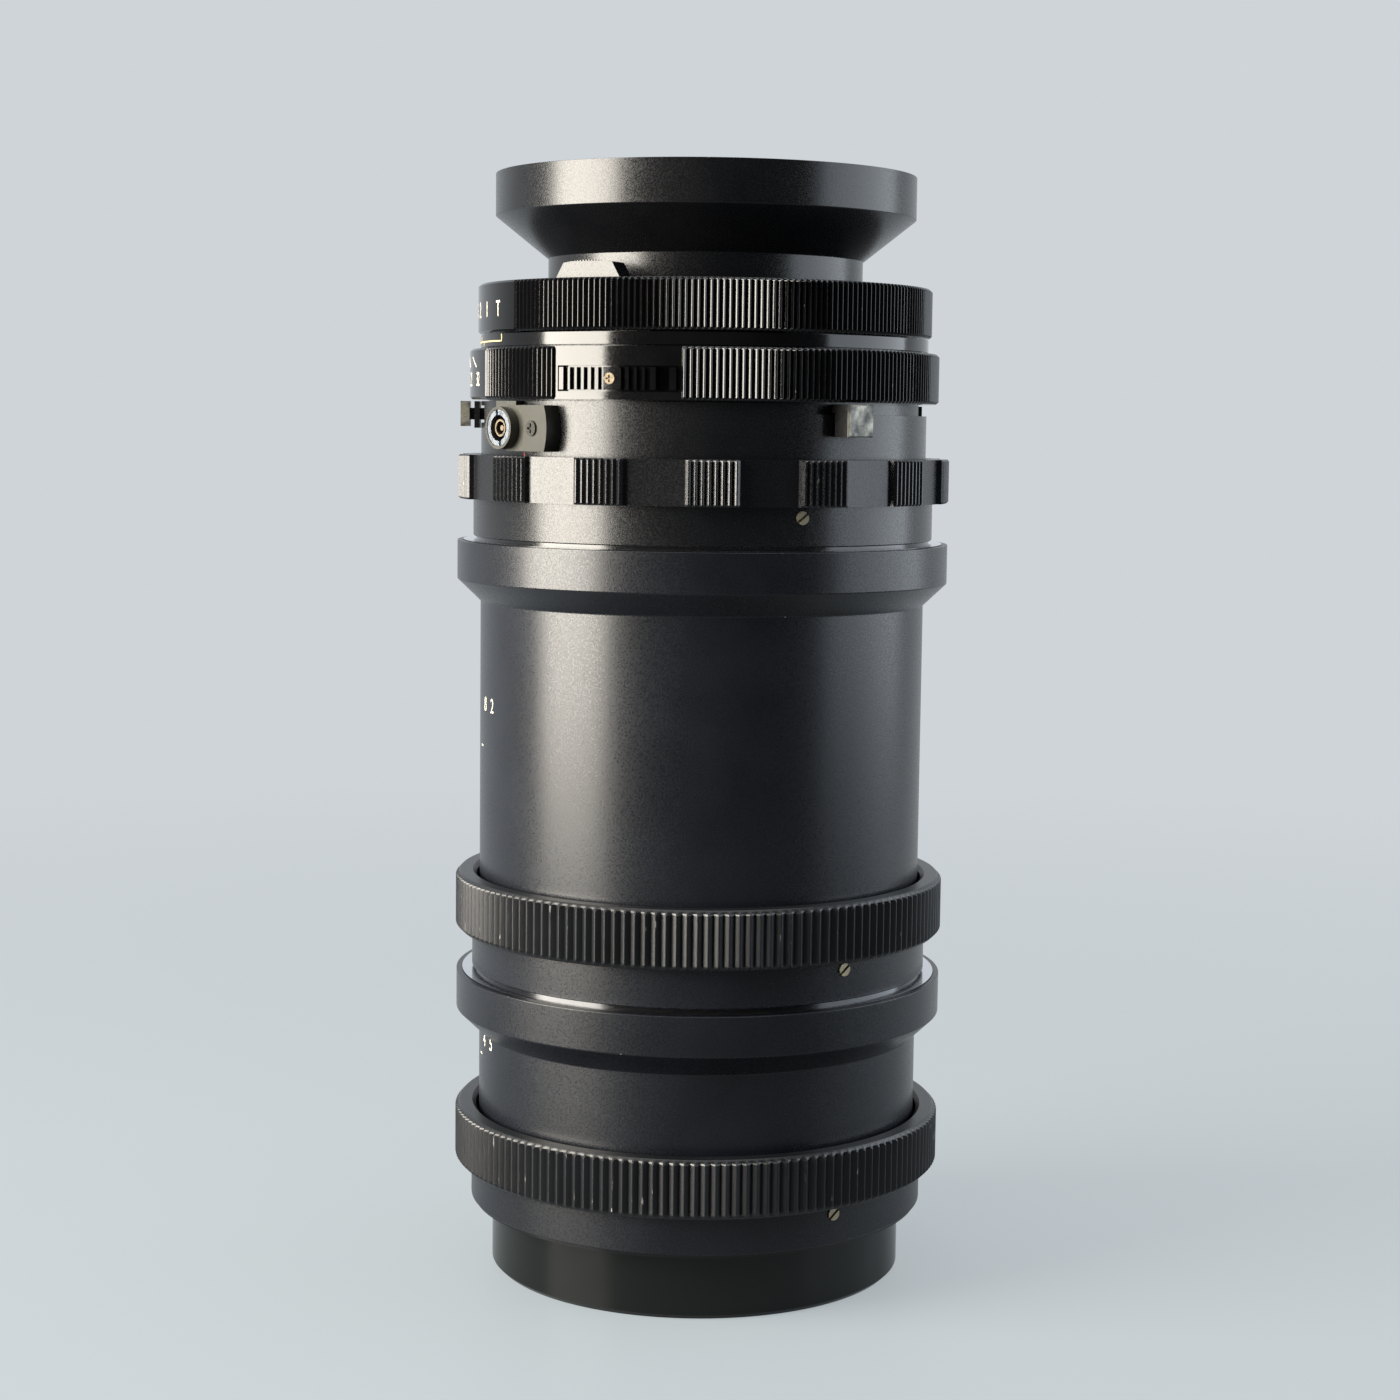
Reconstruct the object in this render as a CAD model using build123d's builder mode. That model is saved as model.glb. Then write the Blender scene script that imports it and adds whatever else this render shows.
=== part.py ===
from build123d import *
import os
from math import atan2, cos, degrees, radians, sin, sqrt

# A leaf-shutter camera lens standing on two automatic extension tubes, with a rear cap.
# Millimetres. +Z runs along the optical axis to the front, z = 0 is the face the cap rests on.
# An azimuth is counted from the -Y side, positive towards +X.

# ---- driving dimensions -------------------------------------------------------------------
SHORT_EXTENSION = 45.0
LONG_EXTENSION = 82.0
FIRST_SEAT = 12.6
TUBE_2_SEAT = FIRST_SEAT + SHORT_EXTENSION
LENS_SEAT = TUBE_2_SEAT + LONG_EXTENSION
SEATS = {"tube_1": FIRST_SEAT, "tube_2": TUBE_2_SEAT}
EXTENSIONS = {"tube_1": SHORT_EXTENSION, "tube_2": LONG_EXTENSION}

CAP_R, CAP_WALL, CAP_FLOOR = 39.4, 3.8, 3.0
CAP_SPIGOT_R, CAP_SPIGOT_TOP = 38.0, 15.2
RUN_GAP = 0.3

SKIRT_R, SKIRT_DROP, SKIRT_H = 43.5, 0.6, 7.1
TUBE_R, TUBE_BORE_R = 42.1, 39.6
FLANGE_R, FLANGE_H, FLANGE_CONE_H = 46.49, 7.3, 4.2
FLANGE_RIM_W, FLANGE_RIM_DROP = 1.0, 0.15
BAYONET_R_OUT, BAYONET_R_IN, BAYONET_H = 45.4, 38.4, 2.2
BAYONET_NOTCHES, BAYONET_NOTCH_DEG, BAYONET_NOTCH_D = 3, 42.0, 1.2
MOUNT_R_OUT, MOUNT_R_IN, MOUNT_H = 42.9, 38.4, 1.6

LOCK_R, LOCK_R_IN, LOCK_H, LOCK_CHAMFER = 46.64, 42.6, 10.9, 0.9
LOCK_BOTTOM = 7.95
DRUM_R, DRUM_WALL, DRUM_BORE_R, DRUM_WEB = 38.0, 1.0, 33.5, 2.0
DRUM_REAR_GAP, DRUM_FRONT_GAP = 3.0, 1.5
PIN_R, PIN_HOLE_R, PIN_CIRCLE_R, PIN_REACH = 1.5, 1.8, 35.8, 4.8
PIN_AZIMUTHS = (-90.0, 90.0)

SCREW_HEAD_R, SCREW_HEAD_H, SCREW_SLOT_W, SCREW_SLOT_D = 1.2, 0.9, 0.45, 0.5
SCREW_BURY, SCREW_SLOT_TURN = 0.6, 38.0
SKIRT_SCREWS = {FIRST_SEAT: (35.5, 18.9), TUBE_2_SEAT: (37.5, 63.9), LENS_SEAT: (23.7, 145.4)}

SCALLOP_R, SCALLOP_RECESS_R = 46.51, 45.0
SCALLOP_Z0, SCALLOP_Z1, SCALLOP_CHAMFER = 147.3, 155.5, 0.35
SCALLOP_PADS, SCALLOP_PAD_DEG, SCALLOP_FIRST = 14, 11.8, 2.1

BARREL_R, BARREL_R_IN, BARREL_TOP = 42.08, 39.2, 165.4
SPINDLE_R, SPINDLE_TOP = 40.6, 175.3
APERTURE_R, APERTURE_R_IN, APERTURE_Z0, APERTURE_Z1, RING_CHAMFER = 44.31, 40.9, 165.7, 175.0, 0.5
APERTURE_FROM, APERTURE_TO = -42.5, 8.5
WINDOW_FROM, WINDOW_TO, WINDOW_R = -37.3, -5.1, 43.75
TRACK_FROM, TRACK_TO, TRACK_R, TRACK_Z0, TRACK_Z1 = -36.2, -5.9, 42.2, 167.1, 171.6
SLIDER_FROM, SLIDER_TO, SLIDER_R0, SLIDER_R1, SLIDER_RIBS = -35.3, -11.0, 42.5, 44.3, 13
SLIDER_END_FROM, SLIDER_END_TO = -7.9, -6.3
SLIDER_Z0, SLIDER_Z1, SLIDER_GROOVE_DEG, SLIDER_GROOVE_D = 167.4, 171.3, 1.3, 0.7
SLIDER_SCREW_AT, SLIDER_SCREW_R, SLIDER_SCREW_BURY, SLIDER_SCREW_H = -22.1, 1.0, 1.2, 1.1
INDEX_R, INDEX_Z0, INDEX_Z1 = 42.2, 175.3, 177.6
SPEED_R, SPEED_Z0, SPEED_Z1, SPEED_R_IN, SPEED_WEB_R, SPEED_WEB_H = 42.79, 177.9, 187.0, 38.4, 30.2, 1.5
TAB_AT, TAB_R0, TAB_FACE_R, TAB_BASE_W, TAB_TOP_W, TAB_H, TAB_CORNER_H = -33.5, 34.2, 37.9, 14.1, 10.6, 3.3, 2.85
TAB_NOTCHES, TAB_NOTCH_PITCH, TAB_NOTCH_W, TAB_NOTCH_D = 15, 0.62, 0.3, 0.22

NECK_R, NECK_BOTTOM, CONE_Z0, CONE_Z1, RIM_R, RIM_TOP = 29.6, 178.0, 192.1, 199.95, 39.49, 207.7
FILTER_THREAD_R, FILTER_THREAD_H = 38.5, 4.5
FRONT_SEAT_R, FRONT_SEAT_Z = 30.15, 195.2
FRONT_LEDGE_Z = 197.6
RETAINER_R_IN, RETAINER_R_OUT, RETAINER_H, RETAINER_BREAK = 29.0, 34.1, 1.6, 0.7
FRONT_BORE_R, HOOD_FLOOR_R, HOOD_FLOOR_Z = 27.2, 34.2, 199.6
BAFFLE_STEPS = 4

SHUTTER_R, SHUTTER_WALL, SHUTTER_BORE_R = 38.6, 1.4, 18.8
SHUTTER_Z0, SHUTTER_Z1, SHUTTER_PLATE = 161.4, 174.6, 1.2
SHUTTER_FLOOR_TOP, IRIS_FLOOR_TOP = 166.1, 169.9
BLADE_COUNT, BLADE_T, BLADE_PITCH, BLADE_LIFT = 5, 0.12, 0.3, 0.3
BLADE_R_IN, BLADE_R_OUT, BLADE_FROM, BLADE_TO = 18.6, 24.6, -5.0, 80.0
BLADE_PIVOT_R, BLADE_LUG_R, BLADE_HOLE_R, PIVOT_PIN_R, PIVOT_PIN_H = 26.5, 1.7, 0.86, 0.8, 2.1
IRIS_REST_TURN, SHUTTER_REST_TURN = 7.0, 0.0
DRIVE_R_IN, DRIVE_R_OUT, DRIVE_LIFT, DRIVE_H = 28.8, 33.0, 0.3, 1.6
CAM_ARM_AT, CAM_ARM_DEG, CAM_ARM_SLACK = 150.0, 6.0, 3.5
SPRING_AT, SPRING_CIRCLE_R, SPRING_COIL_R, SPRING_WIRE_R, SPRING_PITCH, SPRING_H = 200.0, 35.1, 1.4, 0.2, 0.55, 2.2

PLATE_AT, PLATE_Z, PLATE_W, PLATE_REACH, PLATE_FACE_R = -49.0, 160.5, 8.2, 11.7, 44.4
LUG_X0, LUG_X1, LUG_TOP, LUG_FACE_R = -6.9, -1.0, 4.85, 43.8
SOCKET_X, SOCKET_R_OUT, SOCKET_R_IN, SOCKET_FACE_R, SOCKET_FLOOR_R = -3.0, 3.25, 2.35, 46.2, 41.6
COLLAR_R, COLLAR_FACE_R, SOCKET_BASE_R = 3.8, 46.3, 39.6
SOCKET_NOTCH_W, SOCKET_NOTCH_D, SOCKET_NOTCH_TURN, CROSS_DEPTH = 0.7, 0.9, 100.0, 0.35
CONTACT_R_OUT, CONTACT_R_IN, CONTACT_PIN_R = 1.55, 1.2, 0.5
PLATE_SCREW_X, PLATE_SCREW_R, PLATE_SCREW_BURY, PLATE_SCREW_H = 4.5, 1.35, 1.0, 1.35

LEVER_AT, LEVER_W, LEVER_FACE_R, LEVER_Z0, LEVER_Z1 = 37.0, 5.8, 46.1, 159.6, 165.35
STEP_FROM, STEP_TO, STEP_R, STEP_Z0, POCKET_FROM, POCKET_TO, POCKET_R = 23.0, 76.0, 41.2, 163.5, 75.0, 97.0, 40.2
SELECTOR_AT, SELECTOR_W, SELECTOR_PAD_T, SELECTOR_FACE_R = -88.0, 5.2, 1.7, 45.9
SELECTOR_Z0, SELECTOR_Z1, SELECTOR_BASE_H, SELECTOR_BASE_T = 160.7, 165.4, 5.0, 1.0
SELECTOR_NECK_W, SELECTOR_NECK_H, SELECTOR_RIBS = 3.0, 2.2, 5
SELECTOR_GROOVE_W, SELECTOR_GROOVE_D = 0.35, 0.5
GROOVE_FROM, GROOVE_TO, GROOVE_R, GROOVE_Z0, GROOVE_Z1 = -112.0, -76.0, 40.4, 161.4, 164.6

os.makedirs("parts", exist_ok=True)


# ---- helpers ------------------------------------------------------------------------------
def outward_plane(azimuth, r, z):
    """The plane square to the radius at an azimuth: local x to the right, local y up, normal out."""
    a = radians(azimuth)
    return Plane(origin=(r * sin(a), -r * cos(a), z), x_dir=(cos(a), sin(a), 0), z_dir=(sin(a), -cos(a), 0))


def polar(azimuth, r):
    """A point of an XY sketch at an azimuth and a radius."""
    a = radians(azimuth)
    return (r * sin(a), -r * cos(a))


def turned(profile):
    """A solid of revolution about Z from (radius, height) points."""
    with BuildPart() as ring:
        with BuildSketch(Plane.XZ):
            with BuildLine():
                Polyline(*profile, close=True)
            make_face()
        revolve(axis=Axis.Z)
    return ring.part


def sector(azimuth_0, azimuth_1, r_in, r_out, z0, z1):
    """A block bounded by two radii, two azimuths and two heights."""
    middle = (azimuth_0 + azimuth_1) / 2
    with BuildPart() as block:
        with BuildSketch(Plane.XY.offset(z0)):
            with BuildLine():
                inner = ThreePointArc(polar(azimuth_0, r_in), polar(middle, r_in), polar(azimuth_1, r_in))
                outer = ThreePointArc(polar(azimuth_0, r_out), polar(middle, r_out), polar(azimuth_1, r_out))
                Line(inner @ 0, outer @ 0)
                Line(inner @ 1, outer @ 1)
            make_face()
        extrude(amount=z1 - z0)
    return block.part


def outward_cylinder(azimuth, z, radius, r_from, r_to):
    """A cylinder along the radius at an azimuth, from one distance off the axis to another."""
    with BuildPart() as stud:
        with BuildSketch(outward_plane(azimuth, r_from, z)):
            Circle(radius)
        extrude(amount=r_to - r_from)
    return stud.part


def ring_profile(r_in, r_out, z0, z1, chamfer_size, inner_chamfer=0.0):
    """A ring's section with its outer corners, and if asked its upper inner corner, broken."""
    section = [(r_in, z0), (r_out - chamfer_size, z0), (r_out, z0 + chamfer_size)]
    section += [(r_out, z1 - chamfer_size), (r_out - chamfer_size, z1)]
    if inner_chamfer:
        section += [(r_in + inner_chamfer, z1), (r_in, z1 - inner_chamfer)]
    else:
        section += [(r_in, z1)]
    return section


def cam_arm_slot(r_in, r_out):
    """The slot that the arm of the iris cam ring sweeps through a wall."""
    half = CAM_ARM_DEG / 2 + CAM_ARM_SLACK
    z0 = IRIS_FLOOR_TOP + DRIVE_LIFT
    return sector(
        CAM_ARM_AT + APERTURE_FROM - half,
        CAM_ARM_AT + APERTURE_TO + half,
        r_in,
        r_out,
        z0 - DRIVE_LIFT,
        z0 + DRIVE_H + DRIVE_LIFT,
    )


def barrel_clearance(gap):
    """A plug the size of the main barrel and a gap, to hollow the back of what stands on it."""
    r = BARREL_R + gap
    return turned([(0, LENS_SEAT), (r, LENS_SEAT), (r, APERTURE_Z1), (0, APERTURE_Z1)])


def save(part, name):
    part.label = name
    export_step(part, f"parts/{name}.step")


# ---- rear cap -----------------------------------------------------------------------------
with BuildPart() as rear_cap:
    with BuildSketch(Plane.XZ):
        with BuildLine():
            Polyline(
                (0, 0),
                (CAP_R - 0.8, 0),
                (CAP_R, 0.8),
                (CAP_R, FIRST_SEAT - RUN_GAP),
                (CAP_SPIGOT_R, FIRST_SEAT - RUN_GAP),
                (CAP_SPIGOT_R, CAP_SPIGOT_TOP),
                (CAP_R - CAP_WALL, CAP_SPIGOT_TOP),
                (CAP_R - CAP_WALL, CAP_FLOOR),
                (0, CAP_FLOOR),
                close=True,
            )
        make_face()
    revolve(axis=Axis.Z)
save(rear_cap.part, "rear_cap")


# ---- extension tubes ----------------------------------------------------------------------
def skirt(seat):
    """The stationary black ring that shrouds a rear mount, counterbored for it."""
    z0 = seat + SKIRT_DROP
    mount_top = seat + MOUNT_H
    section = [
        (MOUNT_R_OUT, z0),
        (SKIRT_R - 0.2, z0),
        (SKIRT_R, z0 + 0.2),
        (SKIRT_R, z0 + SKIRT_H),
        (TUBE_BORE_R, z0 + SKIRT_H),
        (TUBE_BORE_R, mount_top),
        (MOUNT_R_OUT, mount_top),
    ]
    azimuth, z = SKIRT_SCREWS[seat]
    with BuildPart() as ring:
        add(turned(section))
        pocket = outward_cylinder(azimuth, z, SCREW_HEAD_R + 0.05, SKIRT_R - SCREW_BURY, SKIRT_R + 1)
        add(pocket, mode=Mode.SUBTRACT)
    return ring.part


def rear_mount(seat):
    """The chrome ring that seats on the flange below, held in the skirt."""
    top = seat + MOUNT_H
    return turned([(MOUNT_R_IN, seat), (MOUNT_R_OUT, seat), (MOUNT_R_OUT, top), (MOUNT_R_IN, top)])


def bayonet_ring(next_seat):
    """The chrome front ring with its three bayonet cut-outs, flush with the next module's seat."""
    z0 = next_seat - BAYONET_H
    with BuildPart() as ring:
        with BuildSketch(Plane.XY.offset(z0)):
            Circle(BAYONET_R_OUT)
            Circle(BAYONET_R_IN, mode=Mode.SUBTRACT)
        extrude(amount=BAYONET_H)
        for index in range(BAYONET_NOTCHES):
            middle = index * 360.0 / BAYONET_NOTCHES
            half = BAYONET_NOTCH_DEG / 2
            notch_r = BAYONET_R_IN + BAYONET_NOTCH_D
            notch = sector(middle - half, middle + half, BAYONET_R_IN - 1, notch_r, z0 - 1, next_seat + 1)
            add(notch, mode=Mode.SUBTRACT)
    return ring.part


def tube_body(seat, next_seat):
    """A tube from its skirt up to the cone and flange, counterbored for the bayonet ring."""
    z0 = seat + SKIRT_DROP + SKIRT_H
    rim_top = next_seat - FLANGE_RIM_DROP
    cone_top = rim_top - FLANGE_H
    floor = next_seat - BAYONET_H
    return turned(
        [
            (TUBE_BORE_R, z0),
            (TUBE_R, z0),
            (TUBE_R, cone_top - FLANGE_CONE_H),
            (FLANGE_R, cone_top),
            (FLANGE_R, rim_top - 0.3),
            (FLANGE_R - 0.3, rim_top),
            (BAYONET_R_OUT, rim_top),
            (BAYONET_R_OUT, floor),
            (TUBE_BORE_R, floor),
        ]
    )


def lock_ring(seat):
    """The turning ring outside a tube's lower end, broken at its corners."""
    z0 = seat + LOCK_BOTTOM
    return turned(ring_profile(LOCK_R_IN, LOCK_R, z0, z0 + LOCK_H, LOCK_CHAMFER, 0.7))


def transfer_drum(seat, next_seat):
    """The inner drum that passes the cocking turn forward, with two pins at its front."""
    z0 = seat + DRUM_REAR_GAP
    z1 = next_seat - DRUM_FRONT_GAP
    with BuildPart() as drum:
        with BuildSketch(Plane.XZ):
            with BuildLine():
                Polyline(
                    (DRUM_BORE_R, z0),
                    (DRUM_R, z0),
                    (DRUM_R, z1),
                    (DRUM_BORE_R, z1),
                    (DRUM_BORE_R, z1 - DRUM_WEB),
                    (DRUM_R - DRUM_WALL, z1 - DRUM_WEB),
                    (DRUM_R - DRUM_WALL, z0 + DRUM_WEB),
                    (DRUM_BORE_R, z0 + DRUM_WEB),
                    close=True,
                )
            make_face()
        revolve(axis=Axis.Z)
        with BuildSketch(Plane.XY.offset(z0)):
            with Locations(*[polar(azimuth, PIN_CIRCLE_R) for azimuth in PIN_AZIMUTHS]):
                Circle(PIN_HOLE_R)
        extrude(amount=DRUM_WEB, mode=Mode.SUBTRACT)
        with BuildSketch(Plane.XY.offset(z1)):
            with Locations(*[polar(azimuth, PIN_CIRCLE_R) for azimuth in PIN_AZIMUTHS]):
                Circle(PIN_R)
        extrude(amount=next_seat + PIN_REACH - z1)
    return drum.part


for tube, seat in SEATS.items():
    next_seat = seat + EXTENSIONS[tube]
    save(rear_mount(seat), f"{tube}_rear_mount")
    save(skirt(seat), f"{tube}_rear_skirt")
    save(tube_body(seat, next_seat), f"{tube}_body")
    save(bayonet_ring(next_seat), f"{tube}_bayonet_ring")
    save(lock_ring(seat), f"{tube}_lock_ring")
    save(transfer_drum(seat, next_seat), f"{tube}_cocking_drum")


# ---- lens: mount end ----------------------------------------------------------------------
save(rear_mount(LENS_SEAT), "lens_rear_mount")
save(skirt(LENS_SEAT), "lens_rear_skirt")


def slotted_screw(azimuth, z):
    """A cheese-head screw let into a skirt, its slot turned a little."""
    with BuildPart() as screw:
        with BuildSketch(outward_plane(azimuth, SKIRT_R - SCREW_BURY, z)):
            Circle(SCREW_HEAD_R)
        extrude(amount=SCREW_HEAD_H)
        with BuildSketch(outward_plane(azimuth, SKIRT_R - SCREW_BURY + SCREW_HEAD_H - SCREW_SLOT_D, z)):
            Rectangle(3 * SCREW_HEAD_R, SCREW_SLOT_W, rotation=SCREW_SLOT_TURN)
        extrude(amount=SCREW_SLOT_D, mode=Mode.SUBTRACT)
    return screw.part


screws = [slotted_screw(azimuth, z) for azimuth, z in SKIRT_SCREWS.values()]
save(Compound(children=screws), "skirt_screws")

with BuildPart() as lens_lock_ring:
    add(turned(ring_profile(LOCK_R_IN, SCALLOP_R, SCALLOP_Z0, SCALLOP_Z1, SCALLOP_CHAMFER, 0.5)))
    pad_pitch = 360.0 / SCALLOP_PADS
    for pad in range(SCALLOP_PADS):
        recess_from = SCALLOP_FIRST + pad * pad_pitch + SCALLOP_PAD_DEG / 2
        recess_to = recess_from + pad_pitch - SCALLOP_PAD_DEG
        recess = sector(recess_from, recess_to, SCALLOP_RECESS_R, SCALLOP_R + 1, SCALLOP_Z0 - 1, SCALLOP_Z1 + 1)
        add(recess, mode=Mode.SUBTRACT)
save(lens_lock_ring.part, "lens_lock_ring")

with BuildPart() as cocking_ring:
    ring_z0 = LENS_SEAT + DRUM_REAR_GAP
    with BuildSketch(Plane.XY.offset(ring_z0)):
        Circle(DRUM_R)
        Circle(DRUM_BORE_R, mode=Mode.SUBTRACT)
        with Locations(*[polar(azimuth, PIN_CIRCLE_R) for azimuth in PIN_AZIMUTHS]):
            Circle(PIN_HOLE_R, mode=Mode.SUBTRACT)
    extrude(amount=DRUM_WEB + 0.6)
save(cocking_ring.part, "cocking_ring")

# ---- lens: barrel and outside controls ----------------------------------------------------
with BuildPart() as flash_plate:
    with BuildSketch(outward_plane(PLATE_AT, BARREL_R - 2, PLATE_Z)):
        with Locations((SOCKET_X, 0)):
            Circle(PLATE_REACH)
            Rectangle(2 * PLATE_REACH, PLATE_W, mode=Mode.INTERSECT)
        with Locations((SOCKET_X - PLATE_REACH / 2, 0)):
            Rectangle(PLATE_REACH, PLATE_W, mode=Mode.SUBTRACT)
        with Locations((SOCKET_X, 0)):
            Circle(COLLAR_R)
    extrude(amount=PLATE_FACE_R - BARREL_R + 2)
    with BuildSketch(outward_plane(PLATE_AT, BARREL_R - 2, PLATE_Z)):
        with Locations(((LUG_X0 + LUG_X1) / 2, LUG_TOP / 2)):
            Rectangle(LUG_X1 - LUG_X0, LUG_TOP)
    extrude(amount=LUG_FACE_R - BARREL_R + 2)
    with BuildSketch(outward_plane(PLATE_AT, PLATE_FACE_R, PLATE_Z)):
        with Locations((SOCKET_X, 0)):
            Circle(COLLAR_R)
    extrude(amount=COLLAR_FACE_R - PLATE_FACE_R)
    add(barrel_clearance(0.02), mode=Mode.SUBTRACT)
    with BuildSketch(outward_plane(PLATE_AT, SOCKET_BASE_R, PLATE_Z)):
        with Locations((SOCKET_X, 0)):
            Circle(SOCKET_R_OUT + 0.05)
    extrude(amount=COLLAR_FACE_R, mode=Mode.SUBTRACT)
    with BuildSketch(outward_plane(PLATE_AT, PLATE_FACE_R - PLATE_SCREW_BURY, PLATE_Z)):
        with Locations((PLATE_SCREW_X, 0)):
            Circle(PLATE_SCREW_R + 0.05)
    extrude(amount=COLLAR_FACE_R, mode=Mode.SUBTRACT)
save(flash_plate.part, "flash_plate")

with BuildPart() as main_barrel:
    barrel_z0 = LENS_SEAT + SKIRT_DROP + SKIRT_H
    with BuildSketch(Plane.XZ):
        with BuildLine():
            Polyline(
                (BARREL_R_IN, barrel_z0),
                (BARREL_R, barrel_z0),
                (BARREL_R, BARREL_TOP),
                (SPINDLE_R, BARREL_TOP),
                (SPINDLE_R, SPINDLE_TOP),
                (BARREL_R_IN, SPINDLE_TOP),
                close=True,
            )
        make_face()
    revolve(axis=Axis.Z)
    add(sector(STEP_FROM, STEP_TO, STEP_R, BARREL_R + 1, STEP_Z0, BARREL_TOP + 0.01), mode=Mode.SUBTRACT)
    add(sector(POCKET_FROM, POCKET_TO, POCKET_R, BARREL_R + 1, STEP_Z0, BARREL_TOP + 0.01), mode=Mode.SUBTRACT)
    add(sector(GROOVE_FROM, GROOVE_TO, GROOVE_R, BARREL_R + 1, GROOVE_Z0, GROOVE_Z1), mode=Mode.SUBTRACT)
    with BuildSketch(outward_plane(PLATE_AT, BARREL_R_IN - 3, PLATE_Z)):
        with Locations((SOCKET_X, 0)):
            Circle(SOCKET_R_OUT + 0.05)
    extrude(amount=10, mode=Mode.SUBTRACT)
    add(cam_arm_slot(BARREL_R_IN - 1, SPINDLE_R + 1), mode=Mode.SUBTRACT)
save(main_barrel.part, "main_barrel")

with BuildPart() as flash_socket:
    with BuildSketch(outward_plane(PLATE_AT, SOCKET_BASE_R, PLATE_Z)):
        with Locations((SOCKET_X, 0)):
            Circle(SOCKET_R_OUT)
            Circle(SOCKET_R_IN, mode=Mode.SUBTRACT)
    extrude(amount=SOCKET_FACE_R - SOCKET_BASE_R)
    with BuildSketch(outward_plane(PLATE_AT, SOCKET_FACE_R - SOCKET_NOTCH_D, PLATE_Z)):
        with Locations((SOCKET_X, 0)):
            Rectangle(3 * SOCKET_R_OUT, SOCKET_NOTCH_W, rotation=SOCKET_NOTCH_TURN)
    extrude(amount=SOCKET_NOTCH_D + 1, mode=Mode.SUBTRACT)
save(flash_socket.part, "flash_socket")

with BuildPart() as socket_insulator:
    with BuildSketch(outward_plane(PLATE_AT, SOCKET_BASE_R, PLATE_Z)):
        with Locations((SOCKET_X, 0)):
            Circle(SOCKET_R_IN)
            Circle(CONTACT_PIN_R, mode=Mode.SUBTRACT)
    extrude(amount=SOCKET_FLOOR_R - SOCKET_BASE_R)
save(socket_insulator.part, "socket_insulator")

with BuildPart() as socket_contact:
    with BuildSketch(outward_plane(PLATE_AT, SOCKET_BASE_R, PLATE_Z)):
        with Locations((SOCKET_X, 0)):
            Circle(CONTACT_PIN_R)
    extrude(amount=SOCKET_FACE_R - 0.8 - SOCKET_BASE_R)
    with BuildSketch(outward_plane(PLATE_AT, SOCKET_FLOOR_R, PLATE_Z)):
        with Locations((SOCKET_X, 0)):
            Circle(CONTACT_R_OUT)
            Circle(CONTACT_R_IN, mode=Mode.SUBTRACT)
    extrude(amount=SOCKET_FACE_R - 0.4 - SOCKET_FLOOR_R)
    with BuildSketch(outward_plane(PLATE_AT, SOCKET_FLOOR_R, PLATE_Z)):
        with Locations((SOCKET_X, 0)):
            Circle(CONTACT_R_OUT)
    extrude(amount=0.3)
save(socket_contact.part, "socket_contact")


def cross_screw(plane, x, radius, length):
    """A small screw with a crossed recess in its face, its foot on the plane."""
    with BuildPart() as screw:
        with BuildSketch(plane):
            with Locations((x, 0)):
                Circle(radius)
        extrude(amount=length)
        with BuildSketch(plane.offset(length - CROSS_DEPTH)):
            with Locations((x, 0)):
                Rectangle(1.3 * radius, 0.3 * radius)
                Rectangle(0.3 * radius, 1.3 * radius)
        extrude(amount=CROSS_DEPTH, mode=Mode.SUBTRACT)
    return screw.part


screw_foot = outward_plane(PLATE_AT, PLATE_FACE_R - PLATE_SCREW_BURY, PLATE_Z)
save(cross_screw(screw_foot, PLATE_SCREW_X, PLATE_SCREW_R, PLATE_SCREW_H), "plate_screw")

with BuildPart() as stop_down_lever:
    with BuildSketch(outward_plane(LEVER_AT, BARREL_R - 3, (LEVER_Z0 + LEVER_Z1) / 2)):
        Rectangle(LEVER_W, LEVER_Z1 - LEVER_Z0)
    extrude(amount=LEVER_FACE_R - BARREL_R + 3)
    chamfer(stop_down_lever.faces().sort_by(Axis.Y)[0].edges(), 0.2)
    add(barrel_clearance(RUN_GAP), mode=Mode.SUBTRACT)
    half_foot = degrees(atan2(LEVER_W / 2, BARREL_R)) - 0.2
    add(
        sector(
            LEVER_AT - half_foot,
            LEVER_AT + half_foot,
            STEP_R + 0.25,
            BARREL_R + 0.8,
            STEP_Z0 + 0.25,
            LEVER_Z1,
        )
    )
save(stop_down_lever.part, "stop_down_lever")

with BuildPart() as flash_selector:
    selector_z = (SELECTOR_Z0 + SELECTOR_Z1) / 2
    rib_step = SELECTOR_W / SELECTOR_RIBS
    with BuildSketch(outward_plane(SELECTOR_AT, SELECTOR_FACE_R - SELECTOR_PAD_T, selector_z)):
        Rectangle(SELECTOR_W, SELECTOR_Z1 - SELECTOR_Z0)
    extrude(amount=SELECTOR_PAD_T)
    with BuildSketch(outward_plane(SELECTOR_AT, SELECTOR_FACE_R - SELECTOR_GROOVE_D, selector_z)):
        with GridLocations(rib_step, 1, SELECTOR_RIBS - 1, 1):
            Rectangle(SELECTOR_GROOVE_W, SELECTOR_Z1 - SELECTOR_Z0)
    extrude(amount=SELECTOR_GROOVE_D, mode=Mode.SUBTRACT)
    with BuildSketch(outward_plane(SELECTOR_AT, GROOVE_R + RUN_GAP, selector_z)):
        Rectangle(SELECTOR_NECK_W, SELECTOR_NECK_H)
    extrude(amount=SELECTOR_FACE_R - SELECTOR_PAD_T - GROOVE_R - RUN_GAP)
    half_base = degrees(atan2(SELECTOR_W / 2, BARREL_R))
    add(
        sector(
            SELECTOR_AT - half_base,
            SELECTOR_AT + half_base,
            BARREL_R + RUN_GAP,
            BARREL_R + RUN_GAP + SELECTOR_BASE_T,
            SELECTOR_Z1 - SELECTOR_BASE_H,
            SELECTOR_Z1,
        )
    )
save(flash_selector.part, "flash_selector")

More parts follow.
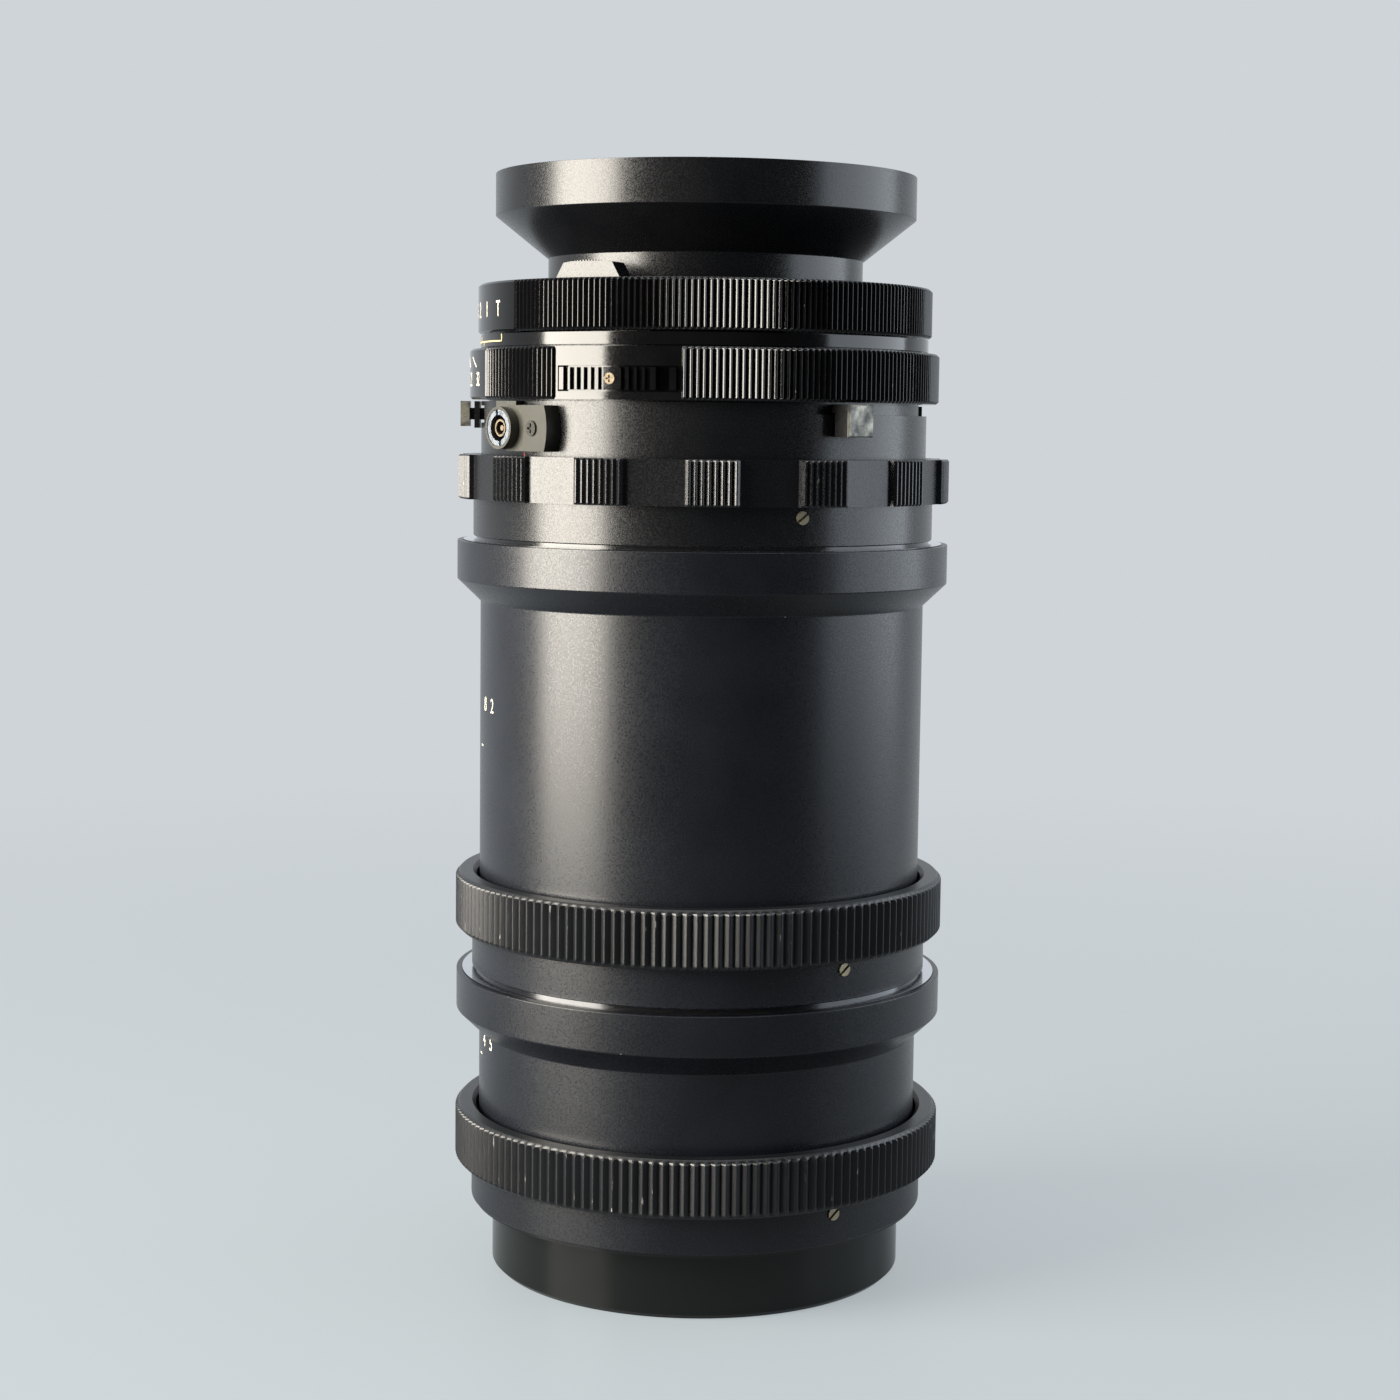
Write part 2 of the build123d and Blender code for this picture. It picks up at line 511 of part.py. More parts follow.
with BuildPart() as aperture_ring:
    add(turned(ring_profile(APERTURE_R_IN, APERTURE_R, APERTURE_Z0, APERTURE_Z1, RING_CHAMFER)))
    add(
        sector(WINDOW_FROM, WINDOW_TO, WINDOW_R, APERTURE_R + 1, APERTURE_Z0 - 1, APERTURE_Z1 + 1),
        mode=Mode.SUBTRACT,
    )
    add(sector(TRACK_FROM, TRACK_TO, TRACK_R, APERTURE_R + 1, TRACK_Z0, TRACK_Z1), mode=Mode.SUBTRACT)
    add(sector(SLIDER_END_FROM, SLIDER_END_TO, TRACK_R - 0.5, SLIDER_R1, SLIDER_Z0, SLIDER_Z1))
save(aperture_ring.part, "aperture_ring")

slider_z = (SLIDER_Z0 + SLIDER_Z1) / 2
with BuildPart() as ring_slider:
    add(sector(SLIDER_FROM, SLIDER_TO, SLIDER_R0, SLIDER_R1, SLIDER_Z0, SLIDER_Z1))
    rib_pitch = (SLIDER_TO - SLIDER_FROM) / SLIDER_RIBS
    groove_half = SLIDER_GROOVE_DEG / 2
    groove_r = SLIDER_R1 - SLIDER_GROOVE_D
    for rib in range(SLIDER_RIBS - 1):
        at = SLIDER_FROM + (rib + 1) * rib_pitch
        clear_of_screw = abs(at - SLIDER_SCREW_AT) > rib_pitch
        if clear_of_screw:
            groove = sector(at - groove_half, at + groove_half, groove_r, SLIDER_R1 + 1, TRACK_Z0, TRACK_Z1)
            add(groove, mode=Mode.SUBTRACT)
    pocket_r = SLIDER_R1 - SLIDER_SCREW_BURY
    pocket = outward_cylinder(SLIDER_SCREW_AT, slider_z, SLIDER_SCREW_R + 0.05, pocket_r, SLIDER_R1 + 1)
    add(pocket, mode=Mode.SUBTRACT)
save(ring_slider.part, "ring_slider")
slider_screw_foot = outward_plane(SLIDER_SCREW_AT, SLIDER_R1 - SLIDER_SCREW_BURY, slider_z)
save(cross_screw(slider_screw_foot, 0, SLIDER_SCREW_R, SLIDER_SCREW_H), "slider_screw")

save(turned(ring_profile(BARREL_R_IN - 1, INDEX_R, INDEX_Z0, INDEX_Z1, 0.15)), "index_ring")

with BuildPart() as speed_ring:
    web_z = SPEED_Z1 - SPEED_WEB_H
    with BuildSketch(Plane.XZ):
        with BuildLine():
            Polyline(
                (SPEED_R_IN, SPEED_Z0),
                (SPEED_R - RING_CHAMFER, SPEED_Z0),
                (SPEED_R, SPEED_Z0 + RING_CHAMFER),
                (SPEED_R, SPEED_Z1 - RING_CHAMFER),
                (SPEED_R - RING_CHAMFER, SPEED_Z1),
                (SPEED_WEB_R, SPEED_Z1),
                (SPEED_WEB_R, web_z),
                (SPEED_R_IN, web_z),
                close=True,
            )
        make_face()
    revolve(axis=Axis.Z)
save(speed_ring.part, "speed_ring")

with BuildPart() as speed_tab:
    with BuildSketch(outward_plane(TAB_AT, TAB_R0, SPEED_Z1)):
        with BuildLine():
            Polyline(
                (-TAB_TOP_W / 2, TAB_CORNER_H),
                (-TAB_BASE_W / 2, 0),
                (TAB_BASE_W / 2, 0),
                (TAB_TOP_W / 2, TAB_CORNER_H),
            )
            ThreePointArc(
                (TAB_TOP_W / 2, TAB_CORNER_H),
                (0, TAB_H),
                (-TAB_TOP_W / 2, TAB_CORNER_H),
            )
        make_face()
        with Locations((0, TAB_H)):
            with GridLocations(TAB_NOTCH_PITCH, 1, TAB_NOTCHES, 1):
                Rectangle(TAB_NOTCH_W, 2 * TAB_NOTCH_D, mode=Mode.SUBTRACT)
    extrude(amount=TAB_FACE_R - TAB_R0)
save(speed_tab.part, "speed_tab")

# ---- lens: front barrel -------------------------------------------------------------------
with BuildPart() as front_barrel:
    step_r = (FILTER_THREAD_R - HOOD_FLOOR_R) / BAFFLE_STEPS
    step_z = (RIM_TOP - FILTER_THREAD_H - HOOD_FLOOR_Z) / BAFFLE_STEPS
    funnel = [(FILTER_THREAD_R, RIM_TOP), (FILTER_THREAD_R, RIM_TOP - FILTER_THREAD_H)]
    for step in range(BAFFLE_STEPS):
        funnel_r = FILTER_THREAD_R - (step + 1) * step_r
        funnel.append((funnel_r, RIM_TOP - FILTER_THREAD_H - step * step_z))
        funnel.append((funnel_r, RIM_TOP - FILTER_THREAD_H - (step + 1) * step_z))
    with BuildSketch(Plane.XZ):
        with BuildLine():
            Polyline(
                (FRONT_BORE_R, NECK_BOTTOM),
                (NECK_R, NECK_BOTTOM),
                (NECK_R, CONE_Z0),
                (RIM_R, CONE_Z1),
                (RIM_R, RIM_TOP - 0.25),
                (RIM_R - 0.25, RIM_TOP),
                *funnel,
                (HOOD_FLOOR_R, FRONT_LEDGE_Z),
                (FRONT_SEAT_R, FRONT_LEDGE_Z),
                (FRONT_SEAT_R, FRONT_SEAT_Z),
                (FRONT_BORE_R, FRONT_SEAT_Z),
                close=True,
            )
        make_face()
    revolve(axis=Axis.Z)
save(front_barrel.part, "front_barrel")

retainer_z0 = FRONT_LEDGE_Z + 0.1
retainer_z1 = retainer_z0 + RETAINER_H
retainer_section = [
    (RETAINER_R_IN, retainer_z0),
    (RETAINER_R_OUT, retainer_z0),
    (RETAINER_R_OUT, retainer_z1),
    (RETAINER_R_IN + RETAINER_BREAK, retainer_z1),
    (RETAINER_R_IN, retainer_z1 - RETAINER_BREAK),
]
save(turned(retainer_section), "front_retaining_ring")


# ---- optics -------------------------------------------------------------------------------
def glass(radius, front_vertex, rear_vertex, front_r, rear_r):
    """A lens element: a positive front_r is convex to the front, a positive rear_r is concave to the rear."""
    def sag(surface_r):
        return surface_r - sqrt(surface_r * surface_r - radius * radius)

    front_edge = front_vertex - sag(front_r) if front_r > 0 else front_vertex + sag(-front_r)
    rear_edge = rear_vertex - sag(rear_r) if rear_r > 0 else rear_vertex + sag(-rear_r)
    with BuildPart() as element:
        with BuildSketch(Plane.XZ):
            with BuildLine():
                RadiusArc((0, front_vertex), (radius, front_edge), front_r)
                Line((radius, front_edge), (radius, rear_edge))
                RadiusArc((0, rear_vertex), (radius, rear_edge), rear_r)
                Line((0, rear_vertex), (0, front_vertex))
            make_face()
        revolve(axis=Axis.Z)
    return element.part


ELEMENTS = {
    "element_1": (30.0, 202.0, 199.2, 100.0, 120.0),
    "element_2": (25.0, 195.0, 192.8, 80.0, 52.0),
    "element_3": (21.5, 188.4, 181.2, 60.0, -90.0),
    "element_4": (18.5, 179.6, 176.9, -70.0, 48.0),
    "element_5": (17.5, 158.6, 156.4, -60.0, 70.0),
    "element_6": (19.5, 153.6, 147.9, 120.0, -62.0),
    "element_7": (20.5, 145.8, 141.0, 150.0, -85.0),
}
for name, shape in ELEMENTS.items():
    save(glass(*shape), name)

FRONT_CELL = [
    (18.6, 174.9),
    (25.0, 174.9),
    (25.0, 178.0),
    (27.1, 178.0),
    (27.1, 194.9),
    (25.1, 194.9),
    (25.1, 186.35),
    (21.6, 186.35),
    (21.6, 183.4),
    (20.3, 183.4),
    (20.3, 182.3),
    (18.6, 182.3),
]
save(turned(FRONT_CELL), "front_cell")

REAR_CELL = [
    (20.6, 140.6),
    (24.0, 140.6),
    (24.0, 159.4),
    (38.9, 159.4),
    (38.9, 161.4),
    (17.6, 161.4),
    (17.6, 154.1),
    (16.6, 154.1),
    (16.6, 152.7),
    (19.6, 152.7),
    (19.6, 144.6),
    (20.6, 144.6),
]
save(turned(REAR_CELL), "rear_cell")
save(turned([(18.9, 141.6), (20.5, 141.6), (20.5, 143.0), (18.9, 143.0)]), "rear_retaining_ring")


# ---- shutter and iris ---------------------------------------------------------------------
def pivot_pins(floor_top):
    """The five fixed pins that the blades of one set turn on."""
    with BuildPart() as pins:
        with BuildSketch(Plane.XY.offset(floor_top)):
            with PolarLocations(BLADE_PIVOT_R, BLADE_COUNT):
                Circle(PIVOT_PIN_R)
        extrude(amount=PIVOT_PIN_H)
    return pins.part


def plate_with_pins(r_out, floor_top):
    """A bored plate with its five pins."""
    with BuildPart() as plate:
        with BuildSketch(Plane.XY.offset(floor_top - SHUTTER_PLATE)):
            Circle(r_out)
            Circle(SHUTTER_BORE_R, mode=Mode.SUBTRACT)
        extrude(amount=SHUTTER_PLATE)
        add(pivot_pins(floor_top))
    return plate.part


def blade(index, floor_top, rest_turn):
    """A crescent blade with its pivot lug, at its own level, turned to its place at rest."""
    pivot_at = index * 360.0 / BLADE_COUNT
    z0 = floor_top + BLADE_LIFT + index * BLADE_PITCH
    with BuildPart() as leaf:
        with BuildSketch(Plane.XY.offset(z0)):
            with BuildLine():
                inner = CenterArc((0, 0), BLADE_R_IN, pivot_at + BLADE_FROM, BLADE_TO - BLADE_FROM)
                outer = CenterArc((0, 0), BLADE_R_OUT, pivot_at + BLADE_FROM, BLADE_TO - BLADE_FROM)
                Line(inner @ 0, outer @ 0)
                Line(inner @ 1, outer @ 1)
            make_face()
            with PolarLocations(BLADE_PIVOT_R, 1, pivot_at):
                Circle(BLADE_LUG_R)
            with PolarLocations((BLADE_PIVOT_R + BLADE_R_OUT) / 2 - 0.4, 1, pivot_at):
                Rectangle(BLADE_PIVOT_R - BLADE_R_OUT + 0.8, 2 * BLADE_LUG_R)
            with PolarLocations(BLADE_PIVOT_R, 1, pivot_at):
                Circle(BLADE_HOLE_R, mode=Mode.SUBTRACT)
        extrude(amount=BLADE_T)
    a = radians(pivot_at)
    pivot_axis = Axis((BLADE_PIVOT_R * cos(a), BLADE_PIVOT_R * sin(a), 0), (0, 0, 1))
    return leaf.part.rotate(pivot_axis, rest_turn)


with BuildPart() as shutter_case:
    add(plate_with_pins(SHUTTER_R, SHUTTER_FLOOR_TOP))
    with BuildSketch(Plane.XY.offset(SHUTTER_Z0)):
        Circle(SHUTTER_R)
        Circle(SHUTTER_R - SHUTTER_WALL, mode=Mode.SUBTRACT)
    extrude(amount=SHUTTER_Z1 - SHUTTER_PLATE - SHUTTER_Z0)
    add(cam_arm_slot(SHUTTER_R - SHUTTER_WALL - 1, SHUTTER_R + 1), mode=Mode.SUBTRACT)
save(shutter_case.part, "shutter_case")

with BuildPart() as shutter_cover:
    with BuildSketch(Plane.XY.offset(SHUTTER_Z1 - SHUTTER_PLATE)):
        Circle(SHUTTER_R)
        Circle(SHUTTER_BORE_R, mode=Mode.SUBTRACT)
    extrude(amount=SHUTTER_PLATE)
save(shutter_cover.part, "shutter_cover")
save(plate_with_pins(SHUTTER_R - SHUTTER_WALL - 0.05, IRIS_FLOOR_TOP), "iris_plate")

for index in range(BLADE_COUNT):
    save(blade(index, SHUTTER_FLOOR_TOP, SHUTTER_REST_TURN), f"shutter_blade_{index + 1}")
    save(blade(index, IRIS_FLOOR_TOP, IRIS_REST_TURN), f"iris_blade_{index + 1}")


def drive_ring(floor_top):
    """A flat ring round the pins of one blade set."""
    with BuildPart() as ring:
        with BuildSketch(Plane.XY.offset(floor_top + DRIVE_LIFT)):
            Circle(DRIVE_R_OUT)
            Circle(DRIVE_R_IN, mode=Mode.SUBTRACT)
        extrude(amount=DRIVE_H)
    return ring.part


save(drive_ring(SHUTTER_FLOOR_TOP), "shutter_drive_ring")

with BuildPart() as iris_cam_ring:
    arm_z0 = IRIS_FLOOR_TOP + DRIVE_LIFT
    half_arm = CAM_ARM_DEG / 2
    add(drive_ring(IRIS_FLOOR_TOP))
    add(
        sector(
            CAM_ARM_AT - half_arm,
            CAM_ARM_AT + half_arm,
            DRIVE_R_OUT - 0.5,
            APERTURE_R_IN - 0.02,
            arm_z0,
            arm_z0 + DRIVE_H,
        )
    )
save(iris_cam_ring.part, "iris_cam_ring")

with BuildPart() as main_spring:
    coil_origin = (*polar(SPRING_AT, SPRING_CIRCLE_R), SHUTTER_FLOOR_TOP + SPRING_WIRE_R + 0.05)
    with BuildLine(Plane(origin=coil_origin)):
        coil = Helix(SPRING_PITCH, SPRING_H, SPRING_COIL_R)
    with BuildSketch(Plane(origin=coil @ 0, z_dir=coil % 0)):
        Circle(SPRING_WIRE_R)
    sweep(path=coil, is_frenet=True)
save(main_spring.part, "main_spring")
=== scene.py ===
from math import cos, pi, radians, sin

import bpy
import numpy as np
from mathutils import Euler, Matrix, Vector

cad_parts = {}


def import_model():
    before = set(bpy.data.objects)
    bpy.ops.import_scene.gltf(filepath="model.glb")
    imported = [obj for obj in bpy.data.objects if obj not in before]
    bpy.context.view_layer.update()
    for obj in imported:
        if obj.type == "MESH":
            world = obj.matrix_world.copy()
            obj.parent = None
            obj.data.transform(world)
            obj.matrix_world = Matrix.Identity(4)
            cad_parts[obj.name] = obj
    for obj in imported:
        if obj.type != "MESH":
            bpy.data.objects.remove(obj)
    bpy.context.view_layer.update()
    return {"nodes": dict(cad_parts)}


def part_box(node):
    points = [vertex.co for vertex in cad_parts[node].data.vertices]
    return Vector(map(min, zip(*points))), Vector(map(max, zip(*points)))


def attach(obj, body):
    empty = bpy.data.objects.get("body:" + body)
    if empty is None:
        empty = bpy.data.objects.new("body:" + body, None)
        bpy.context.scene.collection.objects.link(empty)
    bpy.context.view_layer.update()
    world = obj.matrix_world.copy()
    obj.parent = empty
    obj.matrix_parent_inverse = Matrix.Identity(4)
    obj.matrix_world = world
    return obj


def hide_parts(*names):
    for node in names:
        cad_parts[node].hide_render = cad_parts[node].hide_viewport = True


# The looks of a leaf-shutter lens on two extension tubes. Metres, +Z along the optical axis, z = 0 under the
# rear cap. An azimuth is in degrees from the -Y side, positive towards +X.

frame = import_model()
MM = 0.001
RANGE_SOCKETS = ("From Min", "From Max", "To Min", "To Max")


# ---- shape helpers ------------------------------------------------------------------------
def heights(node):
    """The lowest and highest z of a CAD node, in millimetres."""
    low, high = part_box(node)
    return low.z / MM, high.z / MM


def outer_radius(node):
    """The largest distance of a CAD node from the optical axis, in millimetres."""
    low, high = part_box(node)
    return max(-low.x, high.x, -low.y, high.y) / MM


def mesh_object(name, points, faces, sharp_deg=28.0):
    """A smooth-shaded mesh from an array of points in millimetres and a list or array of faces."""
    mesh = bpy.data.meshes.new(name)
    mesh.from_pydata((points * MM).tolist(), [], faces)
    mesh.update()
    mesh.validate()
    mesh.polygons.foreach_set("use_smooth", np.ones(len(mesh.polygons), bool))
    mesh.set_sharp_from_angle(angle=radians(sharp_deg))
    piece = bpy.data.objects.new(name, mesh)
    bpy.context.scene.collection.objects.link(piece)
    return piece


def wrapped_faces(rows, columns):
    """Quads of a grid that closes on itself both ways: point (i, j) is number i * columns + j."""
    i, j = np.meshgrid(np.arange(rows), np.arange(columns), indexing="ij")
    next_i, next_j = (i + 1) % rows, (j + 1) % columns
    row, next_row = i * columns, next_i * columns
    return np.stack([row + j, next_row + j, next_row + next_j, row + next_j], -1).reshape(-1, 4)


def ring_points(azimuths_deg, r, z):
    """Points of a grid of azimuth by profile: x = r sin a, y = -r cos a, z = z, all as arrays."""
    a = np.radians(azimuths_deg)[:, None]
    return np.stack([r * np.sin(a), -r * np.cos(a), z + 0 * a], -1).reshape(-1, 3)


def rounded(profile, radius=0.12, steps=3, hold=0.06):
    """A closed (r, z) outline with each corner cut to a small arc and a holding point each side of it.

    At a corner P with unit directions u and v to its neighbours, the arc is the quadratic curve
    (1-t)^2 (P+ru) + 2t(1-t) P + t^2 (P+rv), and the holding points lie a little further along u and v.
    """
    corners = np.array(profile, float)
    before, after = np.roll(corners, 1, 0) - corners, np.roll(corners, -1, 0) - corners
    len_b, len_a = np.linalg.norm(before, axis=1), np.linalg.norm(after, axis=1)
    reach = np.minimum(radius, 0.35 * np.minimum(len_b, len_a))[:, None]
    u, v = before / len_b[:, None], after / len_a[:, None]
    t = np.linspace(0, 1, steps + 1)[None, :, None]
    start, end, corner = (corners + reach * u)[:, None], (corners + reach * v)[:, None], corners[:, None]
    arcs = (1 - t) ** 2 * start + 2 * t * (1 - t) * corner + t**2 * end
    gap = np.minimum(hold, 0.1 * np.minimum(len_b, len_a))[:, None]
    hold_before, hold_after = corners + (reach + gap) * u, corners + (reach + gap) * v
    held = np.concatenate([hold_before[:, None], arcs, hold_after[:, None]], 1)
    worn = np.zeros(held.shape[:2])
    worn[:, 1:-1] = 1.0
    return held.reshape(-1, 2), worn.reshape(-1)


def add_wear(piece, values):
    """Stores how exposed each point is, 0 to 1, for the worn edges of a finish."""
    attribute = piece.data.attributes.new("wear", "FLOAT", "POINT")
    attribute.data.foreach_set("value", np.asarray(values, np.float32))


def turned(name, profile, radius, sides=288):
    """A turned ring: the closed (r, z) outline, its corners rounded, carried round the axis."""
    outline, worn = rounded(profile, radius)
    azimuths = np.arange(sides) * 360.0 / sides
    points = ring_points(azimuths, outline[None, :, 0], outline[None, :, 1])
    piece = mesh_object(name, points, outward(points, wrapped_faces(sides, len(outline))).tolist())
    add_wear(piece, np.tile(worn, sides))
    return piece


def outward(points, faces):
    """The faces turned so that the closed surface has a positive volume, its sum of p0 . (p1 x p2) / 6."""
    p = points[faces]
    volume = np.einsum("ij,ij->i", p[:, 0], np.cross(p[:, 1], p[:, 2])).sum()
    volume += np.einsum("ij,ij->i", p[:, 0], np.cross(p[:, 2], p[:, 3])).sum()
    return faces if volume > 0 else faces[:, ::-1]


def toothed(name, azimuths_deg, crest, bore, z0, z1, chamfer, rows):
    """A ring whose outer wall is a height field over azimuth and z.

    At each grid point the radius is the smaller of crest(azimuth, z) and the 45 degree cone of the chamfer,
    the largest crest - chamfer + distance from the nearer end. The bore's (r, z) outline, from the top face
    down to the bottom face, closes it.
    """
    z = np.concatenate(rows)
    field = crest(np.asarray(azimuths_deg)[:, None], z[None, :])
    top_r = field.max()
    wall = np.minimum(field, (top_r - chamfer + np.minimum(z - z0, z1 - z))[None, :])
    count, inner = len(azimuths_deg), np.array(bore)
    r = np.concatenate([wall, np.broadcast_to(inner[:, 0], (count, len(inner)))], 1)
    z_all = np.concatenate([z, inner[:, 1]])
    points = ring_points(azimuths_deg, r, z_all[None, :])
    piece = mesh_object(name, points, outward(points, wrapped_faces(count, len(z_all))).tolist(), 24.0)
    exposed = np.clip((wall - (top_r - 0.22)) / 0.2, 0, 1)
    add_wear(piece, np.concatenate([exposed, np.zeros((count, len(inner)))], 1).reshape(-1))
    return piece


def plain_rows(z0, z1, chamfer):
    """Heights of a toothed wall: close together over the chamfers, wide apart between them."""
    low = z0 + chamfer * np.array([0, 0.15, 0.35, 0.55, 0.75, 0.92, 1.0, 1.12])
    high = z1 - (low[::-1] - z0)
    return low, np.linspace(low[-1], high[0], 5)[1:-1], high


def tooth_wave(azimuth, teeth, crest_share):
    """0 on a tooth's flat crest, rising straight to 1 at the sharp bottom of the groove beside it."""
    phase = np.abs((azimuth * teeth / 360.0 + 0.5) % 1.0 - 0.5) * 2
    return np.clip((phase - crest_share) / (1 - crest_share), 0, 1)


def tooth_azimuths(teeth, crest_share):
    """Five azimuths a tooth: a close pair at each edge of its crest, and the bottom of the groove."""
    half = crest_share / 2
    within = np.array([-half - 0.03, -half + 0.03, half - 0.03, half + 0.03, 0.5])
    return ((np.arange(teeth)[:, None] + within[None, :]) * 360.0 / teeth).reshape(-1)


def between(azimuth, start, end):
    """1 where an azimuth lies from start to end, going up, and 0 elsewhere."""
    return (((azimuth - start) % 360.0) <= (end - start)).astype(float)


# ---- finishes -----------------------------------------------------------------------------
class Finish:
    """A node material with its Principled shader, and short calls for the nodes used here."""

    def __init__(self, name, base, metallic=0.0, roughness=0.4, **sockets):
        self.material = bpy.data.materials.new(name)
        self.material.use_nodes = True
        self.tree = self.material.node_tree
        self.shader = self.tree.nodes["Principled BSDF"]
        self.set("Base Color", (*base, 1.0))
        self.set("Metallic", metallic)
        self.set("Roughness", roughness)
        for socket, value in sockets.items():
            self.set(socket.replace("_", " "), value)
        coordinates = self.tree.nodes.new("ShaderNodeTexCoord")
        self.place, self.normal = coordinates.outputs["Object"], coordinates.outputs["Normal"]

    def set(self, socket, value):
        """Sets a value on the shader itself."""
        self.shader.inputs[socket].default_value = value

    def link(self, output, socket):
        """Feeds a node's output to the shader."""
        self.tree.links.new(output, self.shader.inputs[socket])

    def noise(self, per_mm, detail=2.0, stretch=None, seed=0.0):
        """A noise with that many features a millimetre, squeezed along each axis by stretch."""
        node = self.tree.nodes.new("ShaderNodeTexNoise")
        node.inputs["Scale"].default_value = per_mm / MM
        node.inputs["Detail"].default_value = detail
        mapping = self.tree.nodes.new("ShaderNodeMapping")
        mapping.inputs["Scale"].default_value = stretch or (1, 1, 1)
        mapping.inputs["Location"].default_value = (seed, seed, seed)
        self.tree.links.new(self.place, mapping.inputs["Vector"])
        self.tree.links.new(mapping.outputs[0], node.inputs["Vector"])
        return node.outputs["Fac"]

    def attribute(self, name):
        """A value stored on the piece's points, 0 where the piece has none."""
        node = self.tree.nodes.new("ShaderNodeAttribute")
        node.attribute_name = name
        return node.outputs["Fac"]

    def math(self, operation, a, b):
        """One arithmetic node on two outputs or numbers."""
        node = self.tree.nodes.new("ShaderNodeMath")
        node.operation = operation
        for socket, value in zip(node.inputs, (a, b)):
            if isinstance(value, (int, float)):
                socket.default_value = value
            else:
                self.tree.links.new(value, socket)
        return node.outputs[0]

    def span(self, value, low, high, to_low=0.0, to_high=1.0):
        """value from low to high, carried to to_low and to_high and held there."""
        node = self.tree.nodes.new("ShaderNodeMapRange")
        self.tree.links.new(value, node.inputs["Value"])
        for socket, number in zip(RANGE_SOCKETS, (low, high, to_low, to_high)):
            node.inputs[socket].default_value = number
        return node.outputs["Result"]

    def mix(self, share, first, second):
        """A colour from first to second by share."""
        node = self.tree.nodes.new("ShaderNodeMix")
        node.data_type = "RGBA"
        self.tree.links.new(share, node.inputs["Factor"])
        for socket, value in ((node.inputs["A"], first), (node.inputs["B"], second)):
            if isinstance(value, tuple):
                socket.default_value = (*value, 1.0)
            else:
                self.tree.links.new(value, socket)
        return node.outputs["Result"]

    def bump(self, height, strength, depth_mm):
        """Lets a height, 0 to 1 over that depth, tilt the shading."""
        node = self.tree.nodes.new("ShaderNodeBump")
        node.inputs["Strength"].default_value = strength
        node.inputs["Distance"].default_value = depth_mm * MM
        self.tree.links.new(height, node.inputs["Height"])
        self.link(node.outputs["Normal"], "Normal")


def black_metal(name, dark, light, roughness, grain, wear_floor):
    """Black finished metal: a fine sandy grain, a faint cloudiness, and bare metal where edges are rubbed.

    roughness is its lowest and highest value, grain the grains a millimetre and their depth in millimetres,
    and wear_floor the level of the fleck noise above which an exposed edge is bare: higher is less worn.
    """
    finish = Finish(name, dark, IOR=1.46)
    cloud = finish.noise(0.09, 3.0, seed=3.0)
    sand = finish.noise(grain[0], 1.0)
    coat = finish.mix(finish.span(cloud, 0.35, 0.65), dark, light)
    flecks = finish.noise(1.3, 4.0, stretch=(1, 1, 0.25), seed=11.0)
    patches = finish.noise(0.1, 2.0, seed=23.0)
    edges = finish.span(finish.attribute("wear"), 0.75, 1.0)
    rubbed = finish.math("MULTIPLY", edges, finish.span(flecks, wear_floor, wear_floor + 0.04))
    rubbed = finish.math("MULTIPLY", rubbed, finish.span(patches, 0.5, 0.62))
    finish.link(finish.mix(rubbed, coat, (0.40, 0.39, 0.37)), "Base Color")
    finish.link(rubbed, "Metallic")
    finish.link(finish.span(sand, 0.3, 0.7, *roughness), "Roughness")
    finish.bump(sand, 1.0, grain[1])
    return finish.material


def bright_metal(name, colour, roughness):
    """Plated or bare metal with fine turning lines round the axis and a little tarnish."""
    finish = Finish(name, colour, 1.0, roughness)
    lines = finish.noise(6.0, 1.0, stretch=(0.05, 0.05, 1.0))
    tarnish = finish.noise(0.8, 3.0, seed=5.0)
    dull = tuple(0.72 * channel for channel in colour)
    finish.link(finish.mix(finish.span(tarnish, 0.4, 0.75), colour, dull), "Base Color")
    finish.link(finish.span(tarnish, 0.35, 0.7, roughness, roughness + 0.12), "Roughness")
    finish.bump(lines, 0.15, 0.01)
    return finish.material


def seat_chrome(name, colour, roughness):
    """Turned chrome on the faces square to the axis, near black on the walls round it.

    The share of chrome is the size of the normal's z, from nothing at 0.5 to all at 0.6.
    """
    finish = Finish(name, colour, 1.0, roughness)
    facing = finish.tree.nodes.new("ShaderNodeSeparateXYZ")
    finish.tree.links.new(finish.normal, facing.inputs[0])
    flat = finish.span(finish.math("ABSOLUTE", facing.outputs["Z"], 0.0), 0.5, 0.6)
    lines = finish.noise(9.0, 1.0)
    finish.link(finish.mix(flat, (0.004, 0.004, 0.005), colour), "Base Color")
    finish.link(flat, "Metallic")
    finish.link(finish.span(lines, 0.3, 0.7, roughness, roughness + 0.08), "Roughness")
    return finish.material


